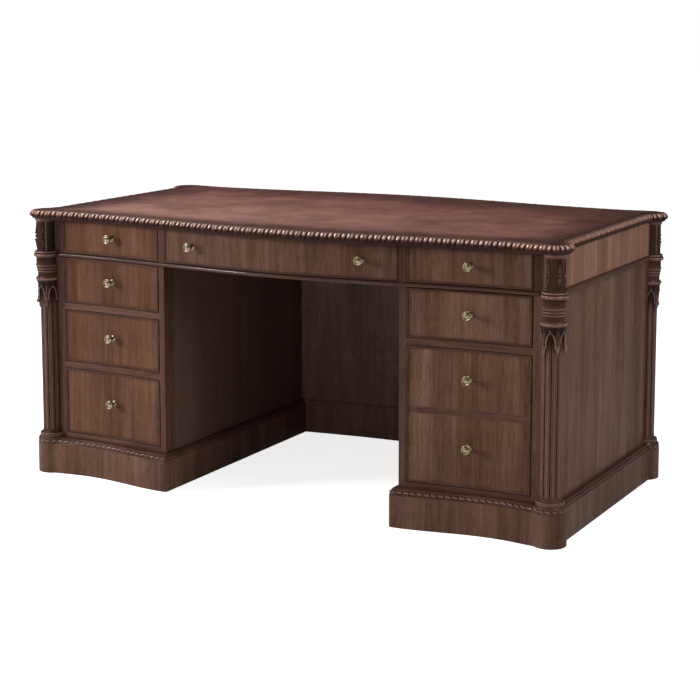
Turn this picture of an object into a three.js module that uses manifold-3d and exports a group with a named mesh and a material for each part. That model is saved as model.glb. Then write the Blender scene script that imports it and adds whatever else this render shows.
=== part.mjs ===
// Executive desk with serpentine long sides, two drawer pedestals and a carved top edge.
// Millimetres, +Z up. The origin is on the floor under the middle of the top. Drawers face -Y.
import * as THREE from 'three';
import { mergeVertices } from 'three/addons/utils/BufferGeometryUtils.js';
import Module from 'manifold-3d';

const wasm = await Module();
wasm.setup();

// Overall sizes: height, and the axes of the four corner columns out from the middle
const deskHeight = 775;
const columnAxisX = 784;
const columnAxisY = 372;

// Heights of the layers, from the floor up
const plinthHeight = 88;
const baseBoardHeight = 18;
const bottomRailHeight = 13;
const drawerRailHeight = 19;
const middleDrawerHeight = 154;
const topDrawerHeight = 134;
const beadHeight = 11;
const friezeDrawerHeight = 100;
const topThickness = 25;

// Widths across the front
const kneeHalfWidth = 367;
const innerStileWidth = 19;
const outerStileWidth = 24.5;
const dividerWidth = 22;

// Boards of the case
const sideThickness = 18;
const sideFaceOut = 9;
const backThickness = 14;
const frameDepth = 22;
const frontThickness = 20;
const runnerHeight = 12;
const runnerReach = 14;

// How far the long faces stand out beyond the column axes, at the hollow and at the middle
const carcassBow = 58;
const beadOut = 8;
const beadReturn = 9;
const rimOut = 44;
const rimBow = 60;
const rimSideOut = 24.5;
const rimCornerRadius = 54.6;
const rimFlare = 72;

// Carved edge of the top, with its repeat of a wide lobe and a narrow one, and the leather inlay
const rimDepth = 22;
const rimGlueGap = 0.8;
const lobePitch = 37.5;
const lobeDepth = 4;
const leatherInset = 44;
const leatherThickness = 1.8;
const waistMouldHeight = 16;
const waistMouldOut = 6;

// Plinth: how far each part of its outline stands out
const plinthKneeOut = 17;
const plinthSideOut = 26;
const plinthMiddleOut = 89;
const plinthShoulderOut = 55;
const plinthHollowOut = 20;
const plinthCornerOut = 33;
const plinthKneeRadius = 10;
const plinthBackRadius = 1.5;
const plinthBlockReturn = 2;
const plinthBlockRadius = 43.5;
const plinthWall = 28;
const modestyPlinthOut = 8;

// Corner columns
const shaftRadius = 28;
const baseRingRadius = 37.5;
const collarRadius = 30.5;
const astragalRadius = 32;
const waistRingRadius = 35.5;
const friezeBlockRadius = 25.5;
const capitalStepOut = 9;
const postReach = 27;
const fluteDepth = 2.4;

// Drawers and knobs
const frontReveal = 1.5;
const cockBeadWidth = 5;
const cockBeadOut = 2;
const groovePanelHeight = 20;
const grooveDepth = 2;
const boxSideClearance = 2;
const boxWall = 12;
const pedestalBoxRearGap = 110;
const friezeBoxRearGap = 190;
const knobRadius = 12.5;
const knobLength = 27;

// Gap left between pieces that touch, and how far a cutter runs past what it cuts
const seatGap = 0.3;
const cutOverrun = 5;

// Shares that place what follows another size
const valleyShare = 0.867;
const plinthHollowShare = 0.816;
const boxHeightShare = 0.78;
const knobHeightShare = 0.54;
const falseSplitShare = 0.54;
const centreKnobShare = 0.72;

// Where the plinth's corner block leaves the front hollow, in degrees from the end
const blockStart = 130;

// Longest facet along a bowed face
const bowStep = 60;

// Counts
const arcSteps = 6;
const rimLongSteps = 40;
const rimCornerSteps = 10;
const columnReeds = 7;
const knobSides = 10;

// Heights and places worked out from the sizes above
const topUnderside = deskHeight - topThickness;
const beadTop = topUnderside - friezeDrawerHeight;
const waistZ = beadTop - beadHeight;
const carcassFoot = plinthHeight + baseBoardHeight;
const drawerFloor = carcassFoot + bottomRailHeight;
const caseEndX = columnAxisX - shaftRadius - seatGap;
const caseEndY = columnAxisY - shaftRadius - seatGap;
const openingInner = kneeHalfWidth + innerStileWidth;
const openingOuter = caseEndX - outerStileWidth;
const sideFaceX = columnAxisX + sideFaceOut;
const sideInnerX = sideFaceX - sideThickness;
const frameBackY = columnAxisY - frameDepth;
const plinthKneeX = kneeHalfWidth - plinthKneeOut;
const waistRingReach = waistRingRadius - capitalStepOut * Math.SQRT1_2;

// Lines of the long faces: [distance from the middle, reach], level at each anchor
const valleyX = columnAxisX * valleyShare;
const carcassLine = [[0, columnAxisY + carcassBow], [valleyX, columnAxisY], [columnAxisX, columnAxisY]];
const rimLine = [
  [0, columnAxisY + rimOut + rimBow],
  [valleyX, columnAxisY + rimOut],
  [columnAxisX, columnAxisY + rimCornerRadius],
];
const rimSideLine = [
  [0, columnAxisX + rimSideOut],
  [columnAxisY - rimFlare, columnAxisX + rimSideOut],
  [columnAxisY, columnAxisX + rimCornerRadius],
];
const plinthLine = [
  [0, columnAxisY + plinthMiddleOut],
  [plinthKneeX, columnAxisY + plinthShoulderOut],
  [columnAxisX * plinthHollowShare, columnAxisY + plinthHollowOut],
  [columnAxisX, columnAxisY + plinthCornerOut],
];

// Materials
function finish(color, roughness, metalness) {
  return new THREE.MeshStandardMaterial({ color, roughness, metalness });
}
const veneer = finish('#5b3a29', 0.45, 0);
const carvedWood = finish('#43261f', 0.4, 0);
const drawerWood = finish('#8a6a4a', 0.7, 0);
const leather = finish('#5e2a20', 0.5, 0);
const brass = finish('#a08650', 0.35, 1);

// Curves
function ease(t) {
  return (1 - Math.cos(Math.PI * Math.min(t, 1))) / 2;
}

function wave(anchors, at) {
  const place = Math.abs(at);
  let next = 1;
  while (next < anchors.length - 1 && place > anchors[next][0]) {
    next += 1;
  }
  const [from, low] = anchors[next - 1];
  const [to, high] = anchors[next];
  return low + (high - low) * ease((place - from) / (to - from));
}

function bowSteps(x0, x1) {
  return Math.ceil(Math.abs(x1 - x0) / bowStep);
}

function spread(from, to, steps) {
  return Array.from({ length: steps + 1 }, (_, i) => from + (to - from) * i / steps);
}

function arc(centreX, centreY, radius, fromDegrees, toDegrees, steps) {
  return spread(fromDegrees, toDegrees, steps).map((degrees) => {
    const turn = THREE.MathUtils.degToRad(degrees);
    return [centreX + radius * Math.cos(turn), centreY + radius * Math.sin(turn)];
  });
}

// Solids
function outward(geometry) {
  const p = geometry.attributes.position;
  const index = geometry.index.array;
  const [a, b, c] = [new THREE.Vector3(), new THREE.Vector3(), new THREE.Vector3()];
  let volume = 0;
  for (let i = 0; i < index.length; i += 3) {
    a.fromBufferAttribute(p, index[i]);
    b.fromBufferAttribute(p, index[i + 1]);
    c.fromBufferAttribute(p, index[i + 2]);
    volume += a.dot(b.cross(c));
  }
  if (volume < 0) {
    geometry.setIndex(Array.from(index).reverse());
  }
  return geometry;
}

function welded(geometry) {
  const bare = geometry.clone();
  bare.deleteAttribute('normal');
  bare.deleteAttribute('uv');
  return outward(mergeVertices(bare));
}

function flat(points) {
  return points.map(([x, y]) => new THREE.Vector2(x, y));
}

function raised(points, depth) {
  return new THREE.ExtrudeGeometry(new THREE.Shape(flat(points)), { depth, bevelEnabled: false });
}

// A plan outline raised from bottom to top
function plate(points, bottom, top) {
  const geometry = raised(points, top - bottom);
  geometry.translate(0, 0, bottom);
  return geometry;
}

// An outline in X and Z carried along Y
function bar(points, front, back) {
  const geometry = raised(points, back - front);
  geometry.rotateX(Math.PI / 2);
  geometry.translate(0, back, 0);
  return geometry;
}

function block(x0, x1, y0, y1, z0, z1) {
  const geometry = new THREE.BoxGeometry(Math.abs(x1 - x0), y1 - y0, z1 - z0);
  geometry.translate((x0 + x1) / 2, (y0 + y1) / 2, (z0 + z1) / 2);
  return geometry;
}

// A skin over rings of equal count. Flat caps close it, each drawn from its ring's flat outline.
function loft(rings, outlineOf = flat) {
  const turned = THREE.ShapeUtils.isClockWise(outlineOf(rings[0]));
  const layers = rings.map((ring) => (turned ? [...ring].reverse() : ring));
  const caps = [rings[0], rings[rings.length - 1]].map((ring) => {
    const outline = outlineOf(ring);
    return THREE.ShapeUtils.triangulateShape(turned ? outline.reverse() : outline, []);
  });
  const count = layers[0].length;
  const faces = [];
  for (let layer = 0; layer + 1 < layers.length; layer += 1) {
    for (let i = 0; i < count; i += 1) {
      const a = layer * count + i;
      const b = layer * count + (i + 1) % count;
      faces.push(a, b, b + count, a, b + count, a + count);
    }
  }
  const last = (layers.length - 1) * count;
  caps[0].forEach(([a, b, c]) => faces.push(c, b, a));
  caps[1].forEach(([a, b, c]) => faces.push(last + a, last + b, last + c));
  const geometry = new THREE.BufferGeometry();
  geometry.setAttribute('position', new THREE.Float32BufferAttribute(layers.flat(2), 3));
  geometry.setIndex(faces);
  return outward(geometry);
}

function solid(geometry) {
  const mesh = welded(geometry);
  return new wasm.Manifold(new wasm.Mesh({
    numProp: 3,
    vertProperties: mesh.attributes.position.array,
    triVerts: new Uint32Array(mesh.index.array),
  }));
}

function geometryOf(manifold) {
  const mesh = manifold.getMesh();
  const geometry = new THREE.BufferGeometry();
  geometry.setAttribute('position', new THREE.BufferAttribute(mesh.vertProperties, 3));
  geometry.setIndex(new THREE.BufferAttribute(mesh.triVerts, 1));
  return geometry;
}

function cut(geometry, cutters) {
  return geometryOf(cutters.reduce((body, cutter) => body.subtract(solid(cutter)), solid(geometry)));
}

function join(geometries) {
  const [first, ...rest] = geometries.map(solid);
  return geometryOf(rest.reduce((body, more) => body.add(more), first));
}

function mirrored(points, signX, signY) {
  return points.map(([x, y]) => [x * signX, y * signY]);
}

const desk = new THREE.Group();

function addPiece(name, geometry, material, group = desk) {
  const mesh = new THREE.Mesh(welded(geometry).toNonIndexed(), material);
  mesh.geometry.computeVertexNormals();
  mesh.name = name;
  group.add(mesh);
  return mesh;
}

// Sides of the desk: name and sign along X
const sides = [['left', -1], ['right', 1]];

// A long face from x0 to x1, with a flat back, at the front of the desk
function bowedPlan(x0, x1, flatY, out) {
  const face = spread(x0, x1, bowSteps(x0, x1)).map((x) => [x, -(wave(carcassLine, x) + out)]);
  return [...face, [x1, -flatY], [x0, -flatY]];
}

// A board of even thickness that follows the carcass line at the back of the desk
function backStrip(x0, x1) {
  const places = spread(x0, x1, bowSteps(x0, x1));
  const outer = places.map((x) => [x, wave(carcassLine, x)]);
  const inner = places.map((x) => [x, wave(carcassLine, x) - backThickness]);
  return [...outer, ...inner.reverse()];
}

// Top: the outline of its edge from the middle of a long side to the middle of an end
function rimQuarter(longSteps, cornerSteps) {
  const long = spread(0, columnAxisX, longSteps).map((x) => [x, wave(rimLine, x)]);
  const corner = arc(columnAxisX, columnAxisY, rimCornerRadius, 90, 0, cornerSteps * 2);
  const flare = spread(columnAxisY, columnAxisY - rimFlare, cornerSteps);
  const end = [...flare, 0].map((y) => [wave(rimSideLine, y), y]);
  return [...long, ...corner.slice(1), ...end.slice(1)];
}

// A quarter outline carried round all four quarters, anticlockwise from the middle of the front
function allRound(quarter) {
  return [
    ...mirrored(quarter, 1, -1),
    ...mirrored(quarter, 1, 1).reverse().slice(1),
    ...mirrored(quarter, -1, 1).slice(1),
    ...mirrored(quarter, -1, -1).reverse().slice(1, -1),
  ];
}

// A closed anticlockwise outline drawn in by an even depth
function drawnIn(points, depth) {
  return points.map(([x, y], i) => {
    const before = points[(i + points.length - 1) % points.length];
    const after = points[(i + 1) % points.length];
    const run = distance(before, after);
    return [x - depth * (after[1] - before[1]) / run, y + depth * (after[0] - before[0]) / run];
  });
}

function distance([x0, y0], [x1, y1]) {
  return Math.hypot(x1 - x0, y1 - y0);
}

function routeLength(points) {
  return points.slice(1).reduce((sum, point, i) => sum + distance(points[i], point), 0);
}

// The crest of the edge at a share of a route's length, and the place on its inner side there
function placeOn(route, share) {
  const reach = seatGap + share * (routeLength(route) - 2 * seatGap);
  let passed = 0;
  let i = 1;
  let step = distance(route[0], route[1]);
  while (i < route.length - 1 && passed + step < reach) {
    passed += step;
    i += 1;
    step = distance(route[i - 1], route[i]);
  }
  const part = (reach - passed) / step;
  return route[i].map((value, axis) => route[i - 1][axis] + (value - route[i - 1][axis]) * part);
}

// Section of the carved edge: depth share in from the crest, height share, and share of a lobe's depth
const rimSectionShares = [[1, 1, 0], [0.14, 0.97, 0.6], [0.05, 0.3, 1], [1, 0, 0]];

// Stations along one repeat, a wide lobe and a narrow one: place share and groove share
const lobeShares = [[0, 1], [0.1, 0], [0.52, 0], [0.62, 1], [0.8, 0]];

function carvedEdge(route) {
  const repeats = Math.round(routeLength(route) / lobePitch);
  const stations = spread(0, repeats - 1, repeats - 1).flatMap((repeat) => (
    lobeShares.map(([place, groove]) => [(repeat + place) / repeats, groove])
  ));
  const rings = [...stations, [1, 1]].map(([share, groove]) => {
    const [x, y, innerX, innerY] = placeOn(route, share);
    return rimSectionShares.map(([inward, up, lobe]) => {
      const depth = inward + groove * lobe * lobeDepth / rimDepth;
      return [x + (innerX - x) * depth, y + (innerY - y) * depth, topUnderside + up * topThickness];
    });
  });
  const section = rimSectionShares.map(([inward, up]) => [inward * rimDepth, up * topThickness]);
  return loft(rings, () => flat(section));
}

// The edge goes round the top in four lengths that meet in the hollows of the long sides
function addCarvedEdges() {
  const crest = allRound(rimQuarter(rimLongSteps, rimCornerSteps));
  const inner = drawnIn(crest, rimDepth);
  const half = crest.length / 2;
  const hollow = Math.round(rimLongSteps * valleyShare);
  const lengths = [
    ['front', -hollow, hollow],
    ['right', hollow, half - hollow],
    ['back', half - hollow, half + hollow],
    ['left', half + hollow, 2 * half - hollow],
  ];
  for (const [name, from, to] of lengths) {
    const route = spread(from, to, to - from).map((place) => {
      const i = (place + crest.length) % crest.length;
      return [...crest[i], ...inner[i]];
    });
    addPiece(`carved_edge_${name}`, carvedEdge(route), carvedWood);
  }
}

function leatherOutline(clearance) {
  const halfWidth = columnAxisX + rimSideOut - leatherInset - clearance;
  const inset = leatherInset + clearance;
  const places = spread(-halfWidth, halfWidth, bowSteps(-halfWidth, halfWidth));
  const front = places.map((x) => [x, -(wave(rimLine, x) - inset)]);
  return [...front, ...mirrored(front, -1, -1)];
}

function addTop() {
  const recess = leatherThickness + seatGap;
  const well = plate(leatherOutline(0), deskHeight - recess, deskHeight + cutOverrun);
  const quarter = rimQuarter(rimLongSteps / 2, arcSteps);
  const outline = drawnIn(allRound(quarter), rimDepth + rimGlueGap);
  addPiece('top_panel', cut(plate(outline, topUnderside, deskHeight), [well]), veneer);
  const skin = plate(leatherOutline(seatGap), deskHeight - leatherThickness, deskHeight);
  addPiece('leather_inlay', skin, leather);
}

// Layers of a bead: height share and reach share
const beadShares = [[0, 0.35], [0.2, 0.9], [0.5, 1], [0.8, 0.9], [1, 0]];

// Places along a beaded rail, with its ends returned clear of the columns' waist rings
function beadPlaces() {
  const end = columnAxisX - waistRingReach - seatGap;
  const full = end - beadReturn;
  return [-caseEndX, -end, ...spread(-full, full, bowSteps(-full, full)), end, caseEndX];
}

function beadReach(x) {
  const end = columnAxisX - waistRingReach - seatGap;
  return Math.abs(x) < end ? beadOut : 0;
}

// The frieze rings: a bead along the foot, then a plain face up to the top
function friezeRings(ringAt) {
  const rings = beadShares.map(([up, out]) => ringAt(waistZ + up * beadHeight, out));
  return [...rings, ringAt(topUnderside - seatGap, 0)];
}

function addFriezeFrame() {
  const rings = friezeRings((z, out) => {
    const face = beadPlaces().map((x) => [x, -(wave(carcassLine, x) + out * beadReach(x)), z]);
    return [...face, [caseEndX, -frameBackY, z], [-caseEndX, -frameBackY, z]];
  });
  const body = loft(rings);
  const frontEnd = -(columnAxisY + carcassBow + beadOut + cutOverrun);
  const backEnd = -frameBackY + cutOverrun;
  const bays = [
    [-openingOuter, -openingInner],
    [-centreHalfWidth(), centreHalfWidth()],
    [openingInner, openingOuter],
  ];
  const head = topUnderside + cutOverrun;
  const cutters = bays.map(([x0, x1]) => block(x0, x1, frontEnd, backEnd, beadTop, head));
  addPiece('frieze_front_frame', cut(body, cutters), veneer);
}

function centreHalfWidth() {
  return openingInner - dividerWidth;
}

function addFriezeBack() {
  const rings = friezeRings((z, out) => {
    const outer = beadPlaces().map((x) => [x, wave(carcassLine, x) + out * beadReach(x), z]);
    const places = spread(caseEndX, -caseEndX, bowSteps(-caseEndX, caseEndX));
    return [...outer, ...places.map((x) => [x, wave(carcassLine, x) - backThickness, z])];
  });
  addPiece('frieze_back', loft(rings), veneer);
}

function addFriezeEnds() {
  for (const [name, sign] of sides) {
    const x0 = sign * sideInnerX;
    const x1 = sign * sideFaceX;
    const panel = block(x0, x1, -caseEndY, caseEndY, waistZ, topUnderside - seatGap);
    const half = waistMouldHeight / 2;
    const middle = waistZ + half;
    const mould = spread(0, 180, arcSteps).map((degrees) => {
      const turn = THREE.MathUtils.degToRad(degrees);
      return [x1 + sign * waistMouldOut * Math.sin(turn), middle - half * Math.cos(turn)];
    });
    const root = x1 - sign * sideThickness / 2;
    const reach = columnAxisY - waistRingReach - seatGap;
    const strip = bar([...mould, [root, middle + half], [root, middle - half]], -reach, reach);
    addPiece(`frieze_end_${name}`, join([panel, strip]), veneer);
  }
}

// Board under the frieze drawers: it carries them and closes the kneehole
function addDustBoard() {
  const halfWidth = sideInnerX - seatGap;
  const postX = caseEndX - seatGap;
  const frontY = -(frameBackY - seatGap);
  const back = spread(postX, -postX, bowSteps(-postX, postX));
  const outline = [
    [-postX, frontY],
    [postX, frontY],
    [postX, -caseEndY],
    [halfWidth, -caseEndY],
    [halfWidth, caseEndY],
    [postX, caseEndY],
    ...back.map((x) => [x, wave(carcassLine, x) - backThickness - seatGap]),
    [-postX, caseEndY],
    [-halfWidth, caseEndY],
    [-halfWidth, -caseEndY],
    [-postX, -caseEndY],
  ];
  addPiece('dust_board', plate(outline, waistZ, beadTop - seatGap), drawerWood);
}

function addFriezeDividers() {
  for (const [name, sign] of sides) {
    const back = wave(carcassLine, openingInner) - backThickness - seatGap;
    const x0 = sign * centreHalfWidth();
    const x1 = sign * openingInner;
    const board = block(x0, x1, -(frameBackY - seatGap), back, beadTop, topUnderside - seatGap);
    addPiece(`frieze_divider_${name}`, board, drawerWood);
  }
}

// Drawer openings of the pedestals, from the lowest up: [foot, head]
const topDrawerFoot = waistZ - topDrawerHeight;
const middleDrawerHead = topDrawerFoot - drawerRailHeight;
const middleDrawerFoot = middleDrawerHead - middleDrawerHeight;
const lowDrawerHead = middleDrawerFoot - drawerRailHeight;
const pedestalOpenings = {
  left: [
    ['low', drawerFloor, lowDrawerHead],
    ['middle', middleDrawerFoot, middleDrawerHead],
    ['top', topDrawerFoot, waistZ],
  ],
  right: [
    ['file', drawerFloor, middleDrawerHead],
    ['top', topDrawerFoot, waistZ],
  ],
};

function addPedestalFrame(name, sign) {
  const plan = bowedPlan(kneeHalfWidth, caseEndX, frameBackY, 0);
  const body = plate(mirrored(plan, sign, 1), carcassFoot + seatGap, waistZ - seatGap);
  const front = -(columnAxisY + carcassBow + cutOverrun);
  const back = -frameBackY + cutOverrun;
  const cutters = pedestalOpenings[name].map(([, foot, head]) => {
    const top = head === waistZ ? waistZ + cutOverrun : head;
    return block(sign * openingInner, sign * openingOuter, front, back, foot, top);
  });
  addPiece(`pedestal_frame_${name}`, cut(body, cutters), veneer);
}

// A side board with a runner ledge under each drawer: from faceX to boardX, ledges out to ledgeX
function runnerBoard(faceX, boardX, ledgeX, openings) {
  const foot = carcassFoot + seatGap;
  const head = waistZ - seatGap;
  const outline = [[faceX, foot], [faceX, head], [boardX, head]];
  for (const [, rest] of [...openings].reverse()) {
    const under = rest - runnerHeight;
    outline.push([boardX, rest], [ledgeX, rest], [ledgeX, under], [boardX, under]);
  }
  outline.push([boardX, foot]);
  return outline;
}

function addPedestalSides(name, sign) {
  const openings = pedestalOpenings[name];
  const outer = runnerBoard(sideFaceX, sideInnerX, openingOuter - runnerReach, openings);
  addPiece(`pedestal_side_${name}`, bar(mirrored(outer, sign, 1), -caseEndY, caseEndY), veneer);
  const innerFace = kneeHalfWidth + sideThickness;
  const inner = runnerBoard(kneeHalfWidth, innerFace, openingInner + runnerReach, openings);
  const back = wave(carcassLine, openingInner + runnerReach) - backThickness - seatGap;
  const frontEnd = -(frameBackY - seatGap);
  addPiece(`pedestal_knee_side_${name}`, bar(mirrored(inner, sign, 1), frontEnd, back), veneer);
}

function addPedestalBack(name, sign) {
  const strip = backStrip(kneeHalfWidth, caseEndX);
  const board = plate(mirrored(strip, sign, 1), carcassFoot + seatGap, waistZ - seatGap);
  addPiece(`pedestal_back_${name}`, board, veneer);
}

// Stations round half a pedestal foot, from the kneehole to the end face:
// each has its place on the plinth's face and its place under the carcass face
function footStations(kneeRadius) {
  const blockEnd = -THREE.MathUtils.radToDeg(Math.acos(plinthSideOut / plinthBlockRadius));
  const kneeY = wave(plinthLine, plinthKneeX) - kneeRadius;
  const knee = arc(plinthKneeX + kneeRadius, kneeY, kneeRadius, 180, 90, 2).map((point) => (
    [point, [kneeHalfWidth, wave(carcassLine, kneeHalfWidth)]]
  ));
  const corner = spread(blockStart, blockEnd, arcSteps + 2).map((degrees) => [
    arc(columnAxisX, columnAxisY, plinthBlockRadius, degrees, degrees, 1)[0],
    arc(columnAxisX, columnAxisY, baseRingRadius, degrees, degrees, 1)[0],
  ]);
  const start = plinthKneeX + kneeRadius;
  const front = spread(0, 1, bowSteps(start, corner[0][0][0])).slice(1, -1).map((share) => {
    const plinthX = start + share * (corner[0][0][0] - start);
    const carcassX = kneeHalfWidth + share * (caseEndX - kneeHalfWidth);
    return [[plinthX, wave(plinthLine, plinthX)], [carcassX, wave(carcassLine, carcassX)]];
  });
  const endY = corner[corner.length - 1][0][1] - plinthBlockReturn;
  return [...knee, ...front, ...corner, [[columnAxisX + plinthSideOut, endY], [sideFaceX, endY]]];
}

// The outline of a pedestal foot, drawn in by a share of the way from plinth face to carcass face
function footRing(share) {
  const halves = [plinthKneeRadius, plinthBackRadius].map((radius) => (
    footStations(radius).map(([[px, py], [cx, cy]]) => [px + (cx - px) * share, py + (cy - py) * share])
  ));
  return [...mirrored(halves[0], 1, -1), ...halves[1].reverse()];
}

function addPlinth(name, sign) {
  const body = plate(mirrored(footRing(0), sign, 1), 0, plinthHeight);
  const innerX = sign * (plinthKneeX + plinthWall);
  const outerX = sign * (columnAxisX + plinthSideOut - plinthWall);
  const reach = frameBackY;
  const hollow = block(innerX, outerX, -reach, reach, -cutOverrun, plinthHeight + cutOverrun);
  addPiece(`plinth_${name}`, cut(body, [hollow]), veneer);
}

// Moulded edge of the base board: height share and inset share toward the carcass face
const baseEdgeShares = [[0, 0.2], [0.18, 0.06], [0.5, 0.12], [0.78, 0.45], [1, 0.85]];

function addBaseBoard(name, sign) {
  const bottom = plinthHeight + seatGap;
  const height = carcassFoot - bottom;
  const rings = baseEdgeShares.map(([up, inset]) => {
    const ring = mirrored(footRing(inset), sign, 1);
    return ring.map(([x, y]) => [x, y, bottom + up * height]);
  });
  addPiece(`base_board_${name}`, loft(rings), carvedWood);
}

// Modesty panel across the back of the kneehole, on its own length of plinth
function addModestyPanel() {
  const halfWidth = kneeHalfWidth - seatGap;
  const strip = backStrip(-halfWidth, halfWidth);
  addPiece('modesty_panel', plate(strip, carcassFoot + seatGap, waistZ - seatGap), veneer);
}

function addModestyPlinth() {
  const halfWidth = plinthKneeX - seatGap;
  const places = spread(-halfWidth, halfWidth, bowSteps(-halfWidth, halfWidth));
  const ring = (z, inset) => {
    const outer = places.map((x) => {
      const face = wave(plinthLine, x);
      return [x, face + (wave(carcassLine, x) - face) * inset, z];
    });
    const inner = places.map((x) => {
      const face = wave(carcassLine, x) - backThickness;
      return [x, face - modestyPlinthOut * (1 - inset), z];
    });
    return [...outer, ...inner.reverse()];
  };
  const mouldFoot = plinthHeight + seatGap;
  const mouldHeight = carcassFoot - mouldFoot;
  const mould = baseEdgeShares.map(([up, inset]) => ring(mouldFoot + up * mouldHeight, inset));
  const rings = [ring(0, 0), ring(plinthHeight, 0), ...mould];
  addPiece('modesty_plinth', loft(rings), veneer);
}

// Corner columns: height share up the column, radius, share of the capital's step out along the
// corner's diagonal, and share of the flute depth
const columnProfileShares = [
  [0, baseRingRadius, 0, 0],
  [0.018, baseRingRadius, 0, 0],
  [0.026, shaftRadius, 0, 0],
  [0.034, shaftRadius, 0, 1],
  [0.59, shaftRadius, 0, 1],
  [0.598, collarRadius, 0.3, 1.2],
  [0.7, collarRadius, 0.3, 1.2],
  [0.716, shaftRadius, 0.3, 0],
  [0.72, astragalRadius, 0.7, 0],
  [0.734, astragalRadius, 0.7, 0],
  [0.738, shaftRadius, 0.2, 0],
  [0.758, shaftRadius, 0.2, 0],
  [0.794, collarRadius, 0.8, 0],
  [0.825, collarRadius, 0.8, 0],
  [0.829, waistRingRadius, 1, 0],
  [0.853, waistRingRadius, 1, 0],
  [0.858, friezeBlockRadius, 1, 0.6],
  [0.985, friezeBlockRadius, 1, 0.6],
  [1, shaftRadius, 1, 0],
];

// Places across one reed, from the groove on its left: share of its width and depth
const reedShares = [[0, 1], [0.24, 0], [0.76, 0]];

// A ring of the column in plan, out from its axis. Its hidden quarter is a square post.
function columnRing(radius, stepOut, relief) {
  const sideEdge = sideFaceOut + seatGap;
  const shift = stepOut * Math.SQRT1_2;
  const from = -Math.acos((sideEdge - shift) / radius);
  const to = Math.PI - Math.asin((seatGap - shift) / radius);
  const ring = [];
  for (let reed = 0; reed < columnReeds; reed += 1) {
    for (const [across, depth] of reedShares) {
      const turn = from + (to - from) * (reed + across) / columnReeds;
      const reach = radius - (reed + across > 0 ? depth * relief : 0);
      ring.push([shift + reach * Math.cos(turn), shift + reach * Math.sin(turn)]);
    }
  }
  ring.push([shift + radius * Math.cos(to), seatGap]);
  ring.push([-postReach, seatGap], [-postReach, -postReach], [sideEdge, -postReach]);
  return ring;
}

function addColumns() {
  const foot = carcassFoot + seatGap;
  const height = topUnderside - seatGap - foot;
  for (const [endName, signY] of [['front', -1], ['back', 1]]) {
    for (const [name, signX] of sides) {
      const rings = columnProfileShares.map(([up, radius, out, depth]) => {
        const z = foot + up * height;
        return columnRing(radius, out * capitalStepOut, depth * fluteDepth).map(([u, v]) => (
          [signX * (columnAxisX + u), signY * (columnAxisY + v), z]
        ));
      });
      addPiece(`column_${endName}_${name}`, loft(rings), carvedWood);
    }
  }
}

// Drawers
function drawerBackFace(x0, x1) {
  const least = Math.min(...spread(x0, x1, bowSteps(x0, x1)).map((x) => wave(carcassLine, x)));
  return least - frontThickness;
}

// A drawer front with a cock bead round its edge, and a level groove where it copies two drawers
function drawerFront(x0, x1, z0, z1, grooveZ) {
  const left = Math.min(x0, x1) + frontReveal;
  const right = Math.max(x0, x1) - frontReveal;
  const foot = z0 + frontReveal;
  const head = z1 - frontReveal;
  const backFace = drawerBackFace(x0, x1);
  const body = plate(bowedPlan(left, right, backFace, cockBeadOut), foot, head);
  const fieldLeft = left + cockBeadWidth;
  const fieldRight = right - cockBeadWidth;
  const field = fieldCutter(fieldLeft, fieldRight, 0, foot + cockBeadWidth, head - cockBeadWidth);
  const cutters = [field];
  if (grooveZ !== null) {
    const half = groovePanelHeight / 2;
    cutters.push(fieldCutter(fieldLeft, fieldRight, -grooveDepth, grooveZ - half, grooveZ + half));
  }
  return cut(body, cutters);
}

// The space in front of a bowed face, as far out as a cutter needs
function fieldCutter(x0, x1, out, z0, z1) {
  const places = spread(x0, x1, bowSteps(x0, x1));
  const near = places.map((x) => [x, -(wave(carcassLine, x) + out)]);
  const far = places.map((x) => [x, -(wave(carcassLine, x) + cutOverrun)]);
  return plate([...near, ...far.reverse()], z0, z1);
}

function drawerBox(x0, x1, z0, z1, rearGap) {
  const left = Math.min(x0, x1) + boxSideClearance;
  const right = Math.max(x0, x1) - boxSideClearance;
  const front = -(drawerBackFace(x0, x1) - seatGap);
  const foot = z0 + seatGap;
  const head = z0 + (z1 - z0) * boxHeightShare;
  const back = columnAxisY - backThickness - rearGap;
  const inside = block(
    left + boxWall,
    right - boxWall,
    front + boxWall,
    back - boxWall,
    foot + boxWall,
    head + cutOverrun,
  );
  return cut(block(left, right, front, back, foot, head), [inside]);
}

// Profile of a turned knob from its plate to its face: radius share and length share
const knobShares = [
  [0, 0],
  [0.72, 0],
  [0.72, 0.09],
  [0.34, 0.2],
  [0.34, 0.48],
  [1, 0.8],
  [0.62, 1],
  [0, 1],
];

function addKnob(name, x, z) {
  const profile = knobShares.map(([out, along]) => (
    new THREE.Vector2(out * knobRadius, -along * knobLength)
  ));
  const knob = addPiece(name, new THREE.LatheGeometry(profile, knobSides), brass);
  const rise = wave(carcassLine, x + knobRadius) - wave(carcassLine, x - knobRadius);
  const turn = -Math.atan2(rise, knobRadius * 2);
  knob.rotation.z = turn;
  knob.position.set(x + seatGap * Math.sin(turn), -(wave(carcassLine, x) + seatGap), z);
}

// One drawer: where its opening is, the room behind its box, and the places of its knobs
function addDrawer(name, x0, x1, z0, z1, rearGap, knobPlaces, grooveZ = null) {
  addPiece(`drawer_front_${name}`, drawerFront(x0, x1, z0, z1, grooveZ), veneer);
  addPiece(`drawer_box_${name}`, drawerBox(x0, x1, z0, z1, rearGap), drawerWood);
  knobPlaces.forEach(([label, x, z]) => addKnob(`knob_${name}${label}`, x, z));
}

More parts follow.
